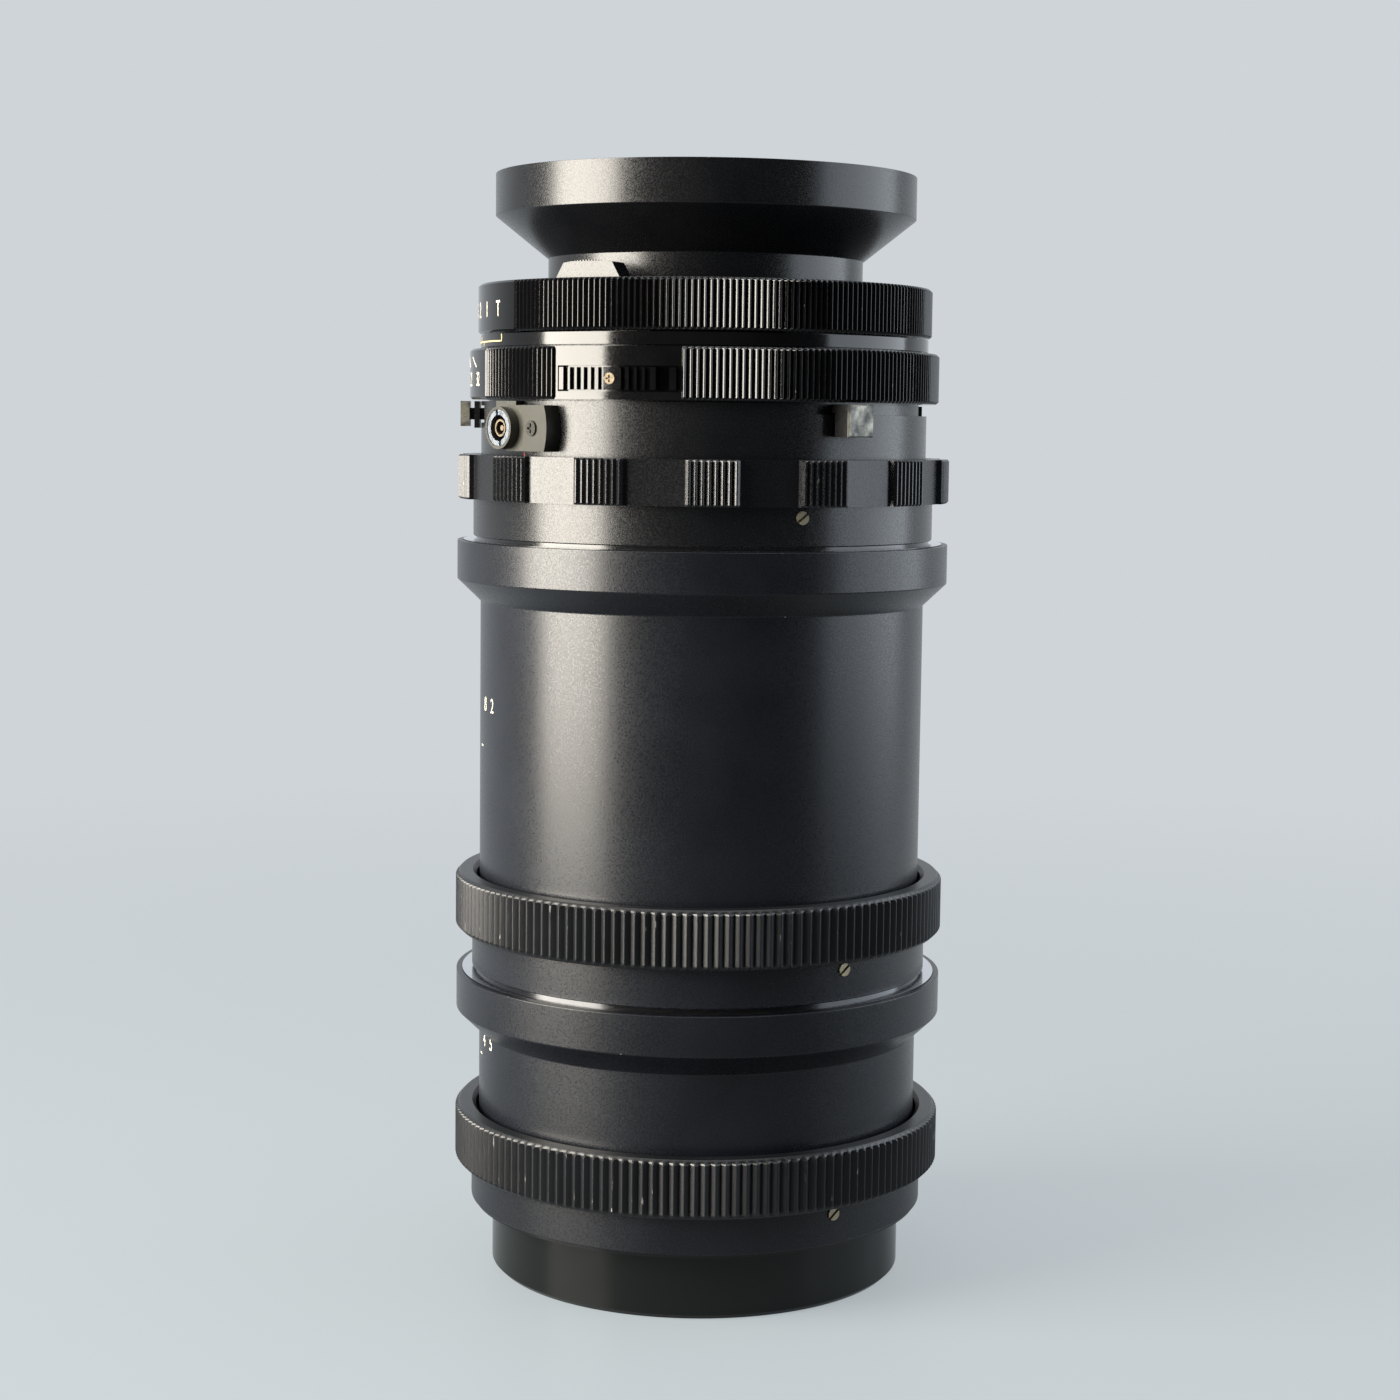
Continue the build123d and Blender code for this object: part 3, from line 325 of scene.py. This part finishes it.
def rubbed_face(name, bare_r):
    """Black metal rubbed to a dull bright patch where it stands further out than bare_r, in millimetres.

    The distance from the axis is the length of (x, y, 0), and a cloudy noise breaks the patch up.
    """
    finish = Finish(name, (0.004, 0.004, 0.004), 0.0, 0.3)
    flat = finish.tree.nodes.new("ShaderNodeVectorMath")
    flat.operation = "MULTIPLY"
    flat.inputs[1].default_value = (1.0, 1.0, 0.0)
    finish.tree.links.new(finish.place, flat.inputs[0])
    length = finish.tree.nodes.new("ShaderNodeVectorMath")
    length.operation = "LENGTH"
    finish.tree.links.new(flat.outputs[0], length.inputs[0])
    out = finish.span(length.outputs["Value"], (bare_r - 0.25) * MM, bare_r * MM)
    cloud = finish.noise(0.45, 3.0, seed=7.0)
    bare = finish.math("MULTIPLY", out, finish.span(cloud, 0.38, 0.62, 0.1, 0.8))
    finish.link(finish.mix(bare, (0.004, 0.004, 0.0045), (0.34, 0.33, 0.28)), "Base Color")
    finish.link(finish.math("MULTIPLY", bare, 0.8), "Metallic")
    finish.link(finish.span(finish.noise(3.0, 2.0), 0.3, 0.7, 0.26, 0.42), "Roughness")
    return finish.material


def cap_plastic():
    """Glossy black moulded plastic with faint handling marks."""
    finish = Finish("cap_plastic", (0.0035, 0.0045, 0.0042), 0.0, 0.16, IOR=1.44)
    smears = finish.noise(0.12, 4.0)
    scuffs = finish.noise(1.1, 3.0, stretch=(1, 1, 0.12), seed=2.0)
    finish.link(finish.span(smears, 0.35, 0.7, 0.07, 0.13), "Roughness")
    finish.bump(scuffs, 0.12, 0.02)
    return finish.material


def coated_glass():
    """Optical glass with a faint bluish coating."""
    finish = Finish("coated_glass", (0.93, 0.97, 1.0), 0.0, 0.02, IOR=1.52, Transmission_Weight=1.0)
    dust = finish.noise(2.2, 3.0)
    finish.link(finish.span(dust, 0.55, 0.8, 0.01, 0.1), "Roughness")
    finish.set("Coat Weight", 0.25)
    finish.set("Coat Tint", (0.86, 0.90, 1.0, 1.0))
    finish.set("Coat IOR", 1.5)
    return finish.material


def paint_filling(name, colour):
    """Figures filled with paint, a little uneven."""
    finish = Finish(name, colour, 0.0, 0.5)
    uneven = finish.noise(3.0, 3.0)
    faded = tuple(0.7 * channel for channel in colour)
    finish.link(finish.mix(finish.span(uneven, 0.45, 0.75), colour, faded), "Base Color")
    return finish.material


PLATED = (0.72, 0.74, 0.78)
satin_black = black_metal(
    "satin_black", (0.0028, 0.0031, 0.0040), (0.0046, 0.0049, 0.0060), (0.20, 0.34), (3.4, 0.007), 0.68
)
# tube_black's blue tint over its black is a painted reflection of the bluish floor and backdrop.
tube_black = black_metal(
    "tube_black", (0.0036, 0.0045, 0.0070), (0.0056, 0.0068, 0.0102), (0.24, 0.38), (3.4, 0.008), 0.68
)
knurl_black = black_metal(
    "knurl_black", (0.0020, 0.0020, 0.0023), (0.0038, 0.0037, 0.0042), (0.09, 0.16), (3.0, 0.002), 0.72
)
lock_black = black_metal(
    "lock_black", (0.0040, 0.0045, 0.0056), (0.0065, 0.0072, 0.0090), (0.28, 0.42), (3.4, 0.008), 0.64
)
plate_black = black_metal(
    "plate_black", (0.036, 0.035, 0.028), (0.046, 0.045, 0.036), (0.3, 0.42), (3.4, 0.004), 0.7
)
inner_black = black_metal(
    "inner_black", (0.006, 0.006, 0.006), (0.009, 0.009, 0.009), (0.5, 0.7), (4.0, 0.03), 0.9
)
chrome_ring = bright_metal("chrome_ring", (0.34, 0.37, 0.41), 0.24)
seat_ring = seat_chrome("seat_ring", PLATED, 0.12)
brass_screw = bright_metal("brass_screw", (0.36, 0.31, 0.22), 0.42)
dark_brass = bright_metal("dark_brass", (0.17, 0.14, 0.10), 0.5)
lever_black = rubbed_face("lever_black", 46.0)
selector_black = rubbed_face("selector_black", 44.4)
dark_steel = bright_metal("dark_steel", (0.06, 0.06, 0.055), 0.34)
blade_steel = bright_metal("blade_steel", (0.07, 0.075, 0.09), 0.35)
machined = bright_metal("machined", (0.42, 0.42, 0.43), 0.35)
ivory = paint_filling("ivory", (0.72, 0.68, 0.58))
gold = paint_filling("gold", (0.62, 0.47, 0.22))
index_red = paint_filling("index_red", (0.35, 0.05, 0.03))
black_cap = cap_plastic()
glass = coated_glass()


def dress(piece, finish):
    """Gives a piece, or a CAD node's object, that one material."""
    piece.data.materials.clear()
    piece.data.materials.append(finish)


def fit(piece, body, node, finish):
    """A finished piece rides on its body, stands for its CAD node and takes a material."""
    dress(piece, finish)
    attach(piece, body)
    if node:
        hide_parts(node)


# ---- turned shells ------------------------------------------------------------------------
STACK = "lens_stack"
TUBE_R, TUBE_BORE_R, FLANGE_H, FLANGE_CONE_H, RECESS_R, RECESS_D = 42.1, 39.6, 7.3, 4.2, 45.4, 2.05
for tube in ("tube_1", "tube_2"):
    z0, z1 = heights(f"{tube}_body")
    cone_top, recess_floor = z1 - FLANGE_H, z1 - RECESS_D
    flange_r = outer_radius(f"{tube}_body")
    outline = [(TUBE_BORE_R, z0), (TUBE_R, z0), (TUBE_R, cone_top - FLANGE_CONE_H)]
    outline += [(flange_r, cone_top), (flange_r, z1)]
    outline += [(RECESS_R, z1), (RECESS_R, recess_floor), (TUBE_BORE_R, recess_floor)]
    fit(turned(f"{tube}_shell", outline, 0.14), STACK, f"{tube}_body", tube_black)

for part in ("tube_1", "tube_2", "lens"):
    dress(frame["nodes"][f"{part}_rear_skirt"], satin_black if part == "lens" else tube_black)

z0, z1 = heights("front_barrel")
THREAD_TURNS, THREAD_PITCH, THREAD_R, THREAD_D, THREAD_H, THREAD_TOP = 5, 0.75, 38.5, 0.4, 4.5, 0.45
NECK_R, CONE_Z0, CONE_Z1, RIM_R, MOUTH_R = 29.6, 192.1, 199.95, 39.49, 38.9
BAFFLES, BAFFLE_R, BAFFLE_STEP_R, BAFFLE_STEP_H = 4, 37.425, 1.075, 0.9
LEDGE_R, LEDGE_Z, GLASS_SEAT_R, GLASS_SEAT_Z, FRONT_BORE_R = 34.2, 197.6, 30.15, 195.2, 27.2
thread = []
for turn in range(THREAD_TURNS):
    crest_z = z1 - THREAD_TOP - turn * THREAD_PITCH
    thread += [(THREAD_R, crest_z), (THREAD_R - THREAD_D, crest_z - THREAD_PITCH / 2)]
outline = [(FRONT_BORE_R, z0), (NECK_R, z0), (NECK_R, CONE_Z0), (RIM_R, CONE_Z1), (RIM_R, z1)]
outline += [(MOUTH_R, z1), *thread, (THREAD_R, z1 - THREAD_H)]
for step in range(BAFFLES):
    step_r, step_z = BAFFLE_R - step * BAFFLE_STEP_R, z1 - THREAD_H - step * BAFFLE_STEP_H
    outline += [(step_r, step_z), (step_r, step_z - BAFFLE_STEP_H)]
outline += [(LEDGE_R, LEDGE_Z), (GLASS_SEAT_R, LEDGE_Z)]
outline += [(GLASS_SEAT_R, GLASS_SEAT_Z), (FRONT_BORE_R, GLASS_SEAT_Z)]
fit(turned("front_barrel_shell", outline, 0.1, 320), STACK, "front_barrel", satin_black)

z0, z1 = heights("index_ring")
INDEX_R, INDEX_BORE_R = 42.2, 38.2
outline = [(INDEX_BORE_R, z0), (INDEX_R, z0), (INDEX_R, z1), (INDEX_BORE_R, z1)]
fit(turned("index_band", outline, 0.1), STACK, "index_ring", knurl_black)

# ---- knurled rings ------------------------------------------------------------------------
LOCK_R, LOCK_CHAMFER, LOCK_TEETH, LOCK_DEPTH, LOCK_CREST = 46.64, 0.9, 156, 0.68, 0.12


def lock_wall(a, z):
    """Teeth all round."""
    return LOCK_R - LOCK_DEPTH * tooth_wave(a, LOCK_TEETH, LOCK_CREST) + 0 * z


for tube in ("tube_1", "tube_2"):
    node = f"{tube}_lock_ring"
    z0, z1 = heights(node)
    bore = [(43.4, z1), (42.65, z1 - 0.7), (42.6, z1 - 1.0), (42.6, z0 + 0.3), (42.6, z0), (43.2, z0)]
    lock_azimuths, rows = tooth_azimuths(LOCK_TEETH, LOCK_CREST), plain_rows(z0, z1, LOCK_CHAMFER)
    ring = toothed(f"{tube}_grip", lock_azimuths, lock_wall, bore, z0, z1, LOCK_CHAMFER, rows)
    fit(ring, node, node, lock_black)

PADS, PAD_DEG, FIRST_PAD, PAD_RIBS = 14, 11.8, 2.1, 8
PAD_R, FLAT_R, RIB_DEPTH, RIB_CREST, PAD_WALL_DEG, PAD_CHAMFER = 46.51, 44.95, 0.44, 0.2, 0.25, 0.35


def pad_offset(a):
    """How far an azimuth is from the middle of its nearest pad, in degrees."""
    pitch = 360.0 / PADS
    return (a - FIRST_PAD + pitch / 2) % pitch - pitch / 2


def scalloped(a, z):
    """Ribbed pads between flats: on a pad the rib wave, beside it a plane at FLAT_R from the axis."""
    offset = pad_offset(a)
    ribs = tooth_wave(offset / PAD_DEG * PAD_RIBS + 0.5 + 0 * z, 360.0, RIB_CREST)
    pad = PAD_R - RIB_DEPTH * ribs
    from_flat = 180.0 / PADS - np.abs(offset)
    flat = FLAT_R / np.cos(np.radians(from_flat))
    return np.where(np.abs(offset) <= PAD_DEG / 2 + 0.01, pad, flat + 0 * z)


z0, z1 = heights("lens_lock_ring")
rib_phase = np.array([-0.5 * RIB_CREST, 0.5 * RIB_CREST, 0.5])
rib_shares = (np.arange(PAD_RIBS)[:, None] + 0.5 + rib_phase[None, :]) / PAD_RIBS - 0.5
rib_offsets = rib_shares.reshape(-1) * PAD_DEG
edges = [-PAD_DEG / 2 - PAD_WALL_DEG, -PAD_DEG / 2, PAD_DEG / 2, PAD_DEG / 2 + PAD_WALL_DEG]
flats = [8.0, 10.0, 12.0, 180.0 / PADS]
ribs_on_pad = rib_offsets[np.abs(rib_offsets) < PAD_DEG / 2]
one_pad = np.unique(np.concatenate([ribs_on_pad, edges, flats, [-8, -10, -12]]))
pad_azimuths = (FIRST_PAD + np.arange(PADS)[:, None] * 360.0 / PADS + one_pad[None, :]).reshape(-1)
bore = [(43.3, z1), (42.65, z1 - 0.5), (42.6, z1 - 0.8), (42.6, z0 + 0.3), (42.6, z0), (43.2, z0)]
rows = plain_rows(z0, z1, PAD_CHAMFER)
ring = toothed("scalloped_grip", pad_azimuths, scalloped, bore, z0, z1, PAD_CHAMFER, rows)
fit(ring, "lens_lock_ring", "lens_lock_ring", satin_black)

FINE_TEETH, FINE_DEPTH, FINE_CREST, FINE_CHAMFER = 240, 0.56, 0.14, 0.5
SPEED_R = 42.79
APERTURE_R, WINDOW, TRACK, POST = 44.31, (-37.3, -5.1), (-36.2, -5.9), (-7.9, -6.3)
WINDOW_R, TRACK_R, TRACK_Z, POST_R, POST_Z = 43.75, 42.2, (167.1, 171.6), 44.3, (167.4, 171.3)
APERTURE_FIGURES, SPEED_FIGURES, FIGURE_DROP = (-150.0, -65.0), (-150.0, -53.6), 0.1


def aperture_wall(a, z):
    """Teeth all round, but for the smooth figured part, and the window with its track and post."""
    r = APERTURE_R - FINE_DEPTH * tooth_wave(a, FINE_TEETH, FINE_CREST) + 0 * z
    r = np.where(between(a, *APERTURE_FIGURES) > 0, APERTURE_R - FIGURE_DROP, r)
    r = np.where(between(a, *WINDOW) > 0, WINDOW_R, r)
    in_track = (between(a, *TRACK) > 0) & (z > TRACK_Z[0]) & (z < TRACK_Z[1])
    r = np.where(in_track, TRACK_R, r)
    in_post = (between(a, *POST) > 0) & (z > POST_Z[0]) & (z < POST_Z[1])
    return np.where(in_post, POST_R, r)


def speed_wall(a, z):
    """Teeth all round but for the smooth figured part."""
    r = SPEED_R - FINE_DEPTH * tooth_wave(a, FINE_TEETH, FINE_CREST) + 0 * z
    return np.where(between(a, *SPEED_FIGURES) > 0, SPEED_R - FIGURE_DROP, r)


def split_at(values, stops, gap):
    """The values with a close pair added at each stop, in order, so that a step there is a wall."""
    pairs = np.concatenate([[stop - gap, stop + gap] for stop in stops])
    return np.unique(np.round(np.concatenate([values, pairs]), 6))


fine = tooth_azimuths(FINE_TEETH, FINE_CREST)
fine = np.sort((fine + 180.0) % 360.0 - 180.0)
z0, z1 = heights("aperture_ring")
aperture_azimuths = split_at(fine, (*WINDOW, *TRACK, *POST, *APERTURE_FIGURES), 0.02)
rows = plain_rows(z0, z1, FINE_CHAMFER)
rows = (split_at(np.concatenate(rows), (*TRACK_Z, *POST_Z), 0.01),)
bore = [(41.5, z1), (40.9, z1), (40.9, z1 - 0.3), (40.9, z0 + 0.3), (40.9, z0), (41.5, z0)]
ring = toothed("aperture_grip", aperture_azimuths, aperture_wall, bore, z0, z1, FINE_CHAMFER, rows)
fit(ring, "aperture_ring", "aperture_ring", knurl_black)

z0, z1 = heights("speed_ring")
WEB_R, WEB_H, SPEED_BORE_R = 30.2, 1.5, 38.4
bore = [(41.0, z1), (30.8, z1), (WEB_R, z1 - 0.1), (WEB_R, z1 - WEB_H)]
bore += [(SPEED_BORE_R, z1 - WEB_H), (SPEED_BORE_R, z0), (39.0, z0)]
speed_azimuths = split_at(fine, SPEED_FIGURES, 0.02)
rows = plain_rows(z0, z1, FINE_CHAMFER)
ring = toothed("speed_grip", speed_azimuths, speed_wall, bore, z0, z1, FINE_CHAMFER, rows)
fit(ring, "speed_ring", "speed_ring", knurl_black)


# ---- figures and marks --------------------------------------------------------------------
def on_drum(points, azimuth, z, r):
    """Flat points (x right, y up, depth out, in millimetres) laid on the cylinder of radius r.

    The azimuth is azimuth + x / r in radians, the height z + y and the radius r + depth.
    """
    a = np.radians(azimuth) + points[:, 0] / r
    out = r + points[:, 2]
    return np.stack([out * np.sin(a), -out * np.cos(a), z + points[:, 1]], -1)


def figure(text, azimuth, z, r, height, squeeze=0.72, depth=0.04):
    """The corners and faces of a raised number, its centre at that azimuth and height on the cylinder."""
    curve = bpy.data.curves.new("figure", "FONT")
    curve.body = text
    curve.size = height / 0.7
    curve.extrude = depth
    curve.resolution_u = 3
    curve.align_x = "CENTER"
    curve.align_y = "CENTER"
    holder = bpy.data.objects.new("figure", curve)
    bpy.context.scene.collection.objects.link(holder)
    bpy.context.view_layer.update()
    mesh = bpy.data.meshes.new_from_object(holder.evaluated_get(bpy.context.evaluated_depsgraph_get()))
    flat = np.zeros(len(mesh.vertices) * 3)
    mesh.vertices.foreach_get("co", flat)
    faces = [tuple(polygon.vertices) for polygon in mesh.polygons]
    bpy.data.objects.remove(holder)
    bpy.data.meshes.remove(mesh)
    flat = flat.reshape(-1, 3)
    flat[:, 0] *= squeeze
    return on_drum(flat, azimuth, z, r), faces


def stroke(azimuth, z, r, run, width, depth=0.04, steps=10):
    """The corners and faces of a line of that width; run is how far it goes right and up in all, in mm."""
    run = np.array(run, float)
    side = np.array([-run[1], run[0]]) / np.linalg.norm(run) * width / 2
    along = np.linspace(-0.5, 0.5, steps + 1)[:, None] * run[None, :]
    corners = [
        np.column_stack([along + sign * side, np.full(steps + 1, out)])
        for out in (-depth, depth)
        for sign in (-1, 1)
    ]
    points = on_drum(np.concatenate(corners), azimuth, z, r)
    n = steps + 1
    order = [0, n, 3 * n, 2 * n]
    faces = []
    for edge in range(4):
        first, second = order[edge], order[(edge + 1) % 4]
        faces += [(first + k, first + k + 1, second + k + 1, second + k) for k in range(steps)]
    faces += [tuple(order), tuple(start + steps for start in reversed(order))]
    return points, faces


def marks(name, pieces, body, finish):
    """One piece made of all these figures and strokes."""
    points, faces, base = [], [], 0
    for corner, face in pieces:
        points.append(corner)
        faces += [tuple(index + base for index in f) for f in face]
        base += len(corner)
    fit(mesh_object(name, np.concatenate(points), faces), body, None, finish)


SPEEDS = ("T", "1", "2", "4", "8", "15", "30", "60", "125", "250", "400")
SPEED_FIRST, SPEED_STEP, SPEED_FIGURE_Z = -61.6, -7.8, 181.9
figure_r = SPEED_R - FIGURE_DROP
speed_marks = [
    figure(text, SPEED_FIRST + index * SPEED_STEP, SPEED_FIGURE_Z, figure_r, 2.9, 0.7)
    for index, text in enumerate(SPEEDS)
]
marks("speed_figures", speed_marks, "speed_ring", ivory)

STOPS = ("32", "22", "16", "11", "8", "5.6", "4.5")
STOP_FIRST, STOP_STEP, STOP_FIGURE_Z, STOP_TICK_Z = -70.2, -8.5, 169.2, 172.5
figure_r = APERTURE_R - FIGURE_DROP
stop_marks = []
for index, text in enumerate(STOPS):
    at = STOP_FIRST + index * STOP_STEP
    stop_marks.append(figure(text, at, STOP_FIGURE_Z, figure_r, 2.6, 0.55))
    stop_marks.append(stroke(at - 3.6, STOP_TICK_Z, figure_r, (3.4, -1.9), 0.24))
marks("aperture_figures", stop_marks, "aperture_ring", ivory)

INDEX_LINE_Z = 176.25
index_r = outer_radius("index_ring")
index_marks = [
    stroke(-84.0, INDEX_LINE_Z, index_r, (34.0, 0.0), 0.26, steps=40),
    stroke(-60.9, INDEX_LINE_Z + 0.6, index_r, (0.0, 1.3), 0.26),
    stroke(-79.2, INDEX_LINE_Z + 0.5, index_r, (0.0, 1.1), 0.24),
    stroke(-75.2, INDEX_LINE_Z - 0.45, index_r, (0.0, 0.9), 0.24),
    stroke(-108.4, INDEX_LINE_Z, index_r, (0.0, 2.0), 0.4),
]
marks("index_lines", index_marks, STACK, gold)
BARREL_R, PLATE_INDEX_AT, PLATE_INDEX_Z = 42.08, -49.9, 155.85
plate_index = [stroke(PLATE_INDEX_AT, PLATE_INDEX_Z, BARREL_R, (0.0, 0.7), 0.35)]
marks("plate_index", plate_index, STACK, index_red)

LENGTH_AT, LENGTH_STEP, LENGTH_LINE_AT = -66.7, -6.0, -76.7
for tube, length, figure_z, line_z in (("tube_2", "82", 108.9, 101.0), ("tube_1", "45", 45.0, 41.9)):
    tube_marks = [
        figure(digit, LENGTH_AT + LENGTH_STEP * place, figure_z, TUBE_R, 2.7, 0.9)
        for place, digit in enumerate(reversed(length))
    ]
    tube_marks.append(stroke(LENGTH_LINE_AT, line_z, TUBE_R, (1.6, 0.0), 0.3))
    marks(f"{tube}_length_mark", tube_marks, STACK, ivory)

# ---- carried-over pieces ------------------------------------------------------------------
nodes = frame["nodes"]
CARRIED = {
    satin_black: ("main_barrel", "speed_tab"),
    plate_black: ("flash_plate",),
    lever_black: ("stop_down_lever",),
    selector_black: ("flash_selector",),
    seat_ring: (
        "tube_1_rear_mount",
        "tube_2_rear_mount",
        "lens_rear_mount",
        "tube_1_bayonet_ring",
        "tube_2_bayonet_ring",
    ),
    chrome_ring: ("flash_socket",),
    knurl_black: ("ring_slider", "front_retaining_ring"),
    brass_screw: ("skirt_screws",),
    dark_brass: ("slider_screw", "socket_contact"),
    dark_steel: ("plate_screw",),
    black_cap: ("rear_cap",),
    inner_black: (
        "tube_1_cocking_drum",
        "tube_2_cocking_drum",
        "cocking_ring",
        "front_cell",
        "rear_cell",
        "rear_retaining_ring",
        "socket_insulator",
    ),
    machined: (
        "shutter_case",
        "shutter_cover",
        "iris_plate",
        "shutter_drive_ring",
        "iris_cam_ring",
        "main_spring",
    ),
}
for finish, names in CARRIED.items():
    for name in names:
        dress(nodes[name], finish)
for name, node in nodes.items():
    if "blade" in name:
        dress(node, blade_steel)
    if name.startswith("element_"):
        dress(node, glass)


# ---- floor, light and camera --------------------------------------------------------------
BACKDROP = (0.620, 0.658, 0.690)
ROOM_RANGE = (-0.25, 0.75, 0.03, 1.1)
CAMERA_LENS_MM, CAMERA_PLACE = 68.64, (-0.0001, -0.50924, 0.16184)
CAMERA_TILT, CAMERA_ROLL = 0.10349, 0.0118
# FLOOR_NEAR is the floor's glow beside the stack: painted shade, darker than the backdrop.
FLOOR_NEAR, FLOOR_GLOW, FLOOR_UNSEEN = (0.50, 0.55, 0.575), 0.74, 0.18


def floor(sides=96):
    """A pale disc that glows as painted light, darker beside the stack as painted shade, and fades into the
    backdrop's colour with distance.

    Its glow is whole where it is seen directly. Elsewhere it counts only behind the stack, so that the near
    floor doesn't light up the front.
    """
    rings = np.concatenate([[0.0], np.geomspace(60, 9000, 40)])
    azimuths = np.arange(sides) * 360.0 / sides
    points = ring_points(azimuths, rings[None, :], np.zeros((1, len(rings))))
    i, j = np.meshgrid(np.arange(sides), np.arange(len(rings) - 1), indexing="ij")
    n = len(rings)
    here, beside = i * n + j, (i + 1) % sides * n + j
    quads = np.stack([here, here + 1, beside + 1, beside], -1).reshape(-1, 4)
    piece = mesh_object("floor", points, quads.tolist())
    finish = Finish("pale_floor", (0.40, 0.44, 0.46), 0.0, 0.45)
    tree = finish.tree
    distance = tree.nodes.new("ShaderNodeVectorMath")
    distance.operation = "LENGTH"
    tree.links.new(finish.place, distance.inputs[0])
    away = finish.span(distance.outputs["Value"], 0.05, 0.7)
    away = finish.math("POWER", away, 0.6)
    grain = finish.noise(0.02, 3.0)
    finish.link(finish.span(grain, 0.3, 0.7, 0.35, 0.45), "Roughness")
    glow = tree.nodes.new("ShaderNodeEmission")
    tree.links.new(finish.mix(away, FLOOR_NEAR, BACKDROP), glow.inputs["Color"])
    ray = tree.nodes.new("ShaderNodeLightPath")
    split = tree.nodes.new("ShaderNodeSeparateXYZ")
    tree.links.new(finish.place, split.inputs[0])
    behind = finish.span(split.outputs["Y"], -0.1, 0.15, FLOOR_UNSEEN, 1.0)
    tree.links.new(finish.math("MAXIMUM", behind, ray.outputs["Is Camera Ray"]), glow.inputs["Strength"])
    blend = tree.nodes.new("ShaderNodeMixShader")
    tree.links.new(finish.span(away, 0.0, 1.0, FLOOR_GLOW, 1.0), blend.inputs[0])
    tree.links.new(finish.shader.outputs[0], blend.inputs[1])
    tree.links.new(glow.outputs[0], blend.inputs[2])
    output = tree.nodes["Material Output"]
    tree.links.new(blend.outputs[0], output.inputs["Surface"])
    dress(piece, finish.material)


def area_light(name, azimuth, elevation, distance, size, power, colour, aim_z=0.1):
    """A soft box at an azimuth and elevation, turned to the stack's axis."""
    a, e = radians(azimuth), radians(elevation)
    aim = Vector((0.0, 0.0, aim_z))
    place = aim + distance * Vector((cos(e) * sin(a), -cos(e) * cos(a), sin(e)))
    light = bpy.data.lights.new(name, "AREA")
    light.shape = "RECTANGLE"
    light.size, light.size_y = size
    light.energy = power
    light.color = colour
    holder = bpy.data.objects.new(name, light)
    holder.location = place
    holder.rotation_euler = (place - aim).to_track_quat("Z", "Y").to_euler()
    bpy.context.scene.collection.objects.link(holder)


def world():
    """A dim room in front, the pale backdrop behind; what is seen directly is the backdrop's colour."""
    scene_world = bpy.data.worlds.new("studio")
    bpy.context.scene.world = scene_world
    scene_world.use_nodes = True
    tree = scene_world.node_tree
    background = tree.nodes["Background"]
    place = tree.nodes.new("ShaderNodeTexCoord")
    split = tree.nodes.new("ShaderNodeSeparateXYZ")
    tree.links.new(place.outputs["Generated"], split.inputs[0])
    ramp = tree.nodes.new("ShaderNodeMapRange")
    for socket, number in zip(RANGE_SOCKETS, ROOM_RANGE):
        ramp.inputs[socket].default_value = number
    tree.links.new(split.outputs["Y"], ramp.inputs["Value"])
    ray = tree.nodes.new("ShaderNodeLightPath")
    strength = tree.nodes.new("ShaderNodeMix")
    tree.links.new(ray.outputs["Is Camera Ray"], strength.inputs["Factor"])
    tree.links.new(ramp.outputs["Result"], strength.inputs["A"])
    strength.inputs["B"].default_value = 1.0
    tree.links.new(strength.outputs["Result"], background.inputs["Strength"])
    background.inputs["Color"].default_value = (*BACKDROP, 1.0)


def camera():
    """The viewpoint: half a metre away, a little above the middle, tilted down and rolled by a trace."""
    lens = bpy.data.cameras.new("camera")
    lens.lens = CAMERA_LENS_MM
    lens.sensor_width = 36.0
    lens.clip_start = 0.01
    lens.clip_end = 50.0
    holder = bpy.data.objects.new("camera", lens)
    place = Matrix.Translation(CAMERA_PLACE)
    turn = Euler((pi / 2 - CAMERA_TILT, 0.0, 0.0)).to_matrix().to_4x4()
    roll = Matrix.Rotation(CAMERA_ROLL, 4, "Z")
    holder.matrix_world = place @ turn @ roll
    bpy.context.scene.collection.objects.link(holder)
    bpy.context.scene.camera = holder


bpy.context.scene.view_settings.view_transform = "Standard"
floor()
world()
camera()
LIGHTS = (  # name, azimuth, elevation, distance, size, power, colour
    ("key", -67, 12, 0.75, (0.52, 0.8), 32.0, (1.0, 0.94, 0.84)),
    ("fill", 92, 16, 1.0, (1.1, 0.9), 10.0, (0.84, 0.92, 1.0)),
    ("overhead", 0, 88, 1.1, (1.2, 1.2), 9.0, (0.97, 0.98, 1.0)),
)
for light in LIGHTS:
    area_light(*light)
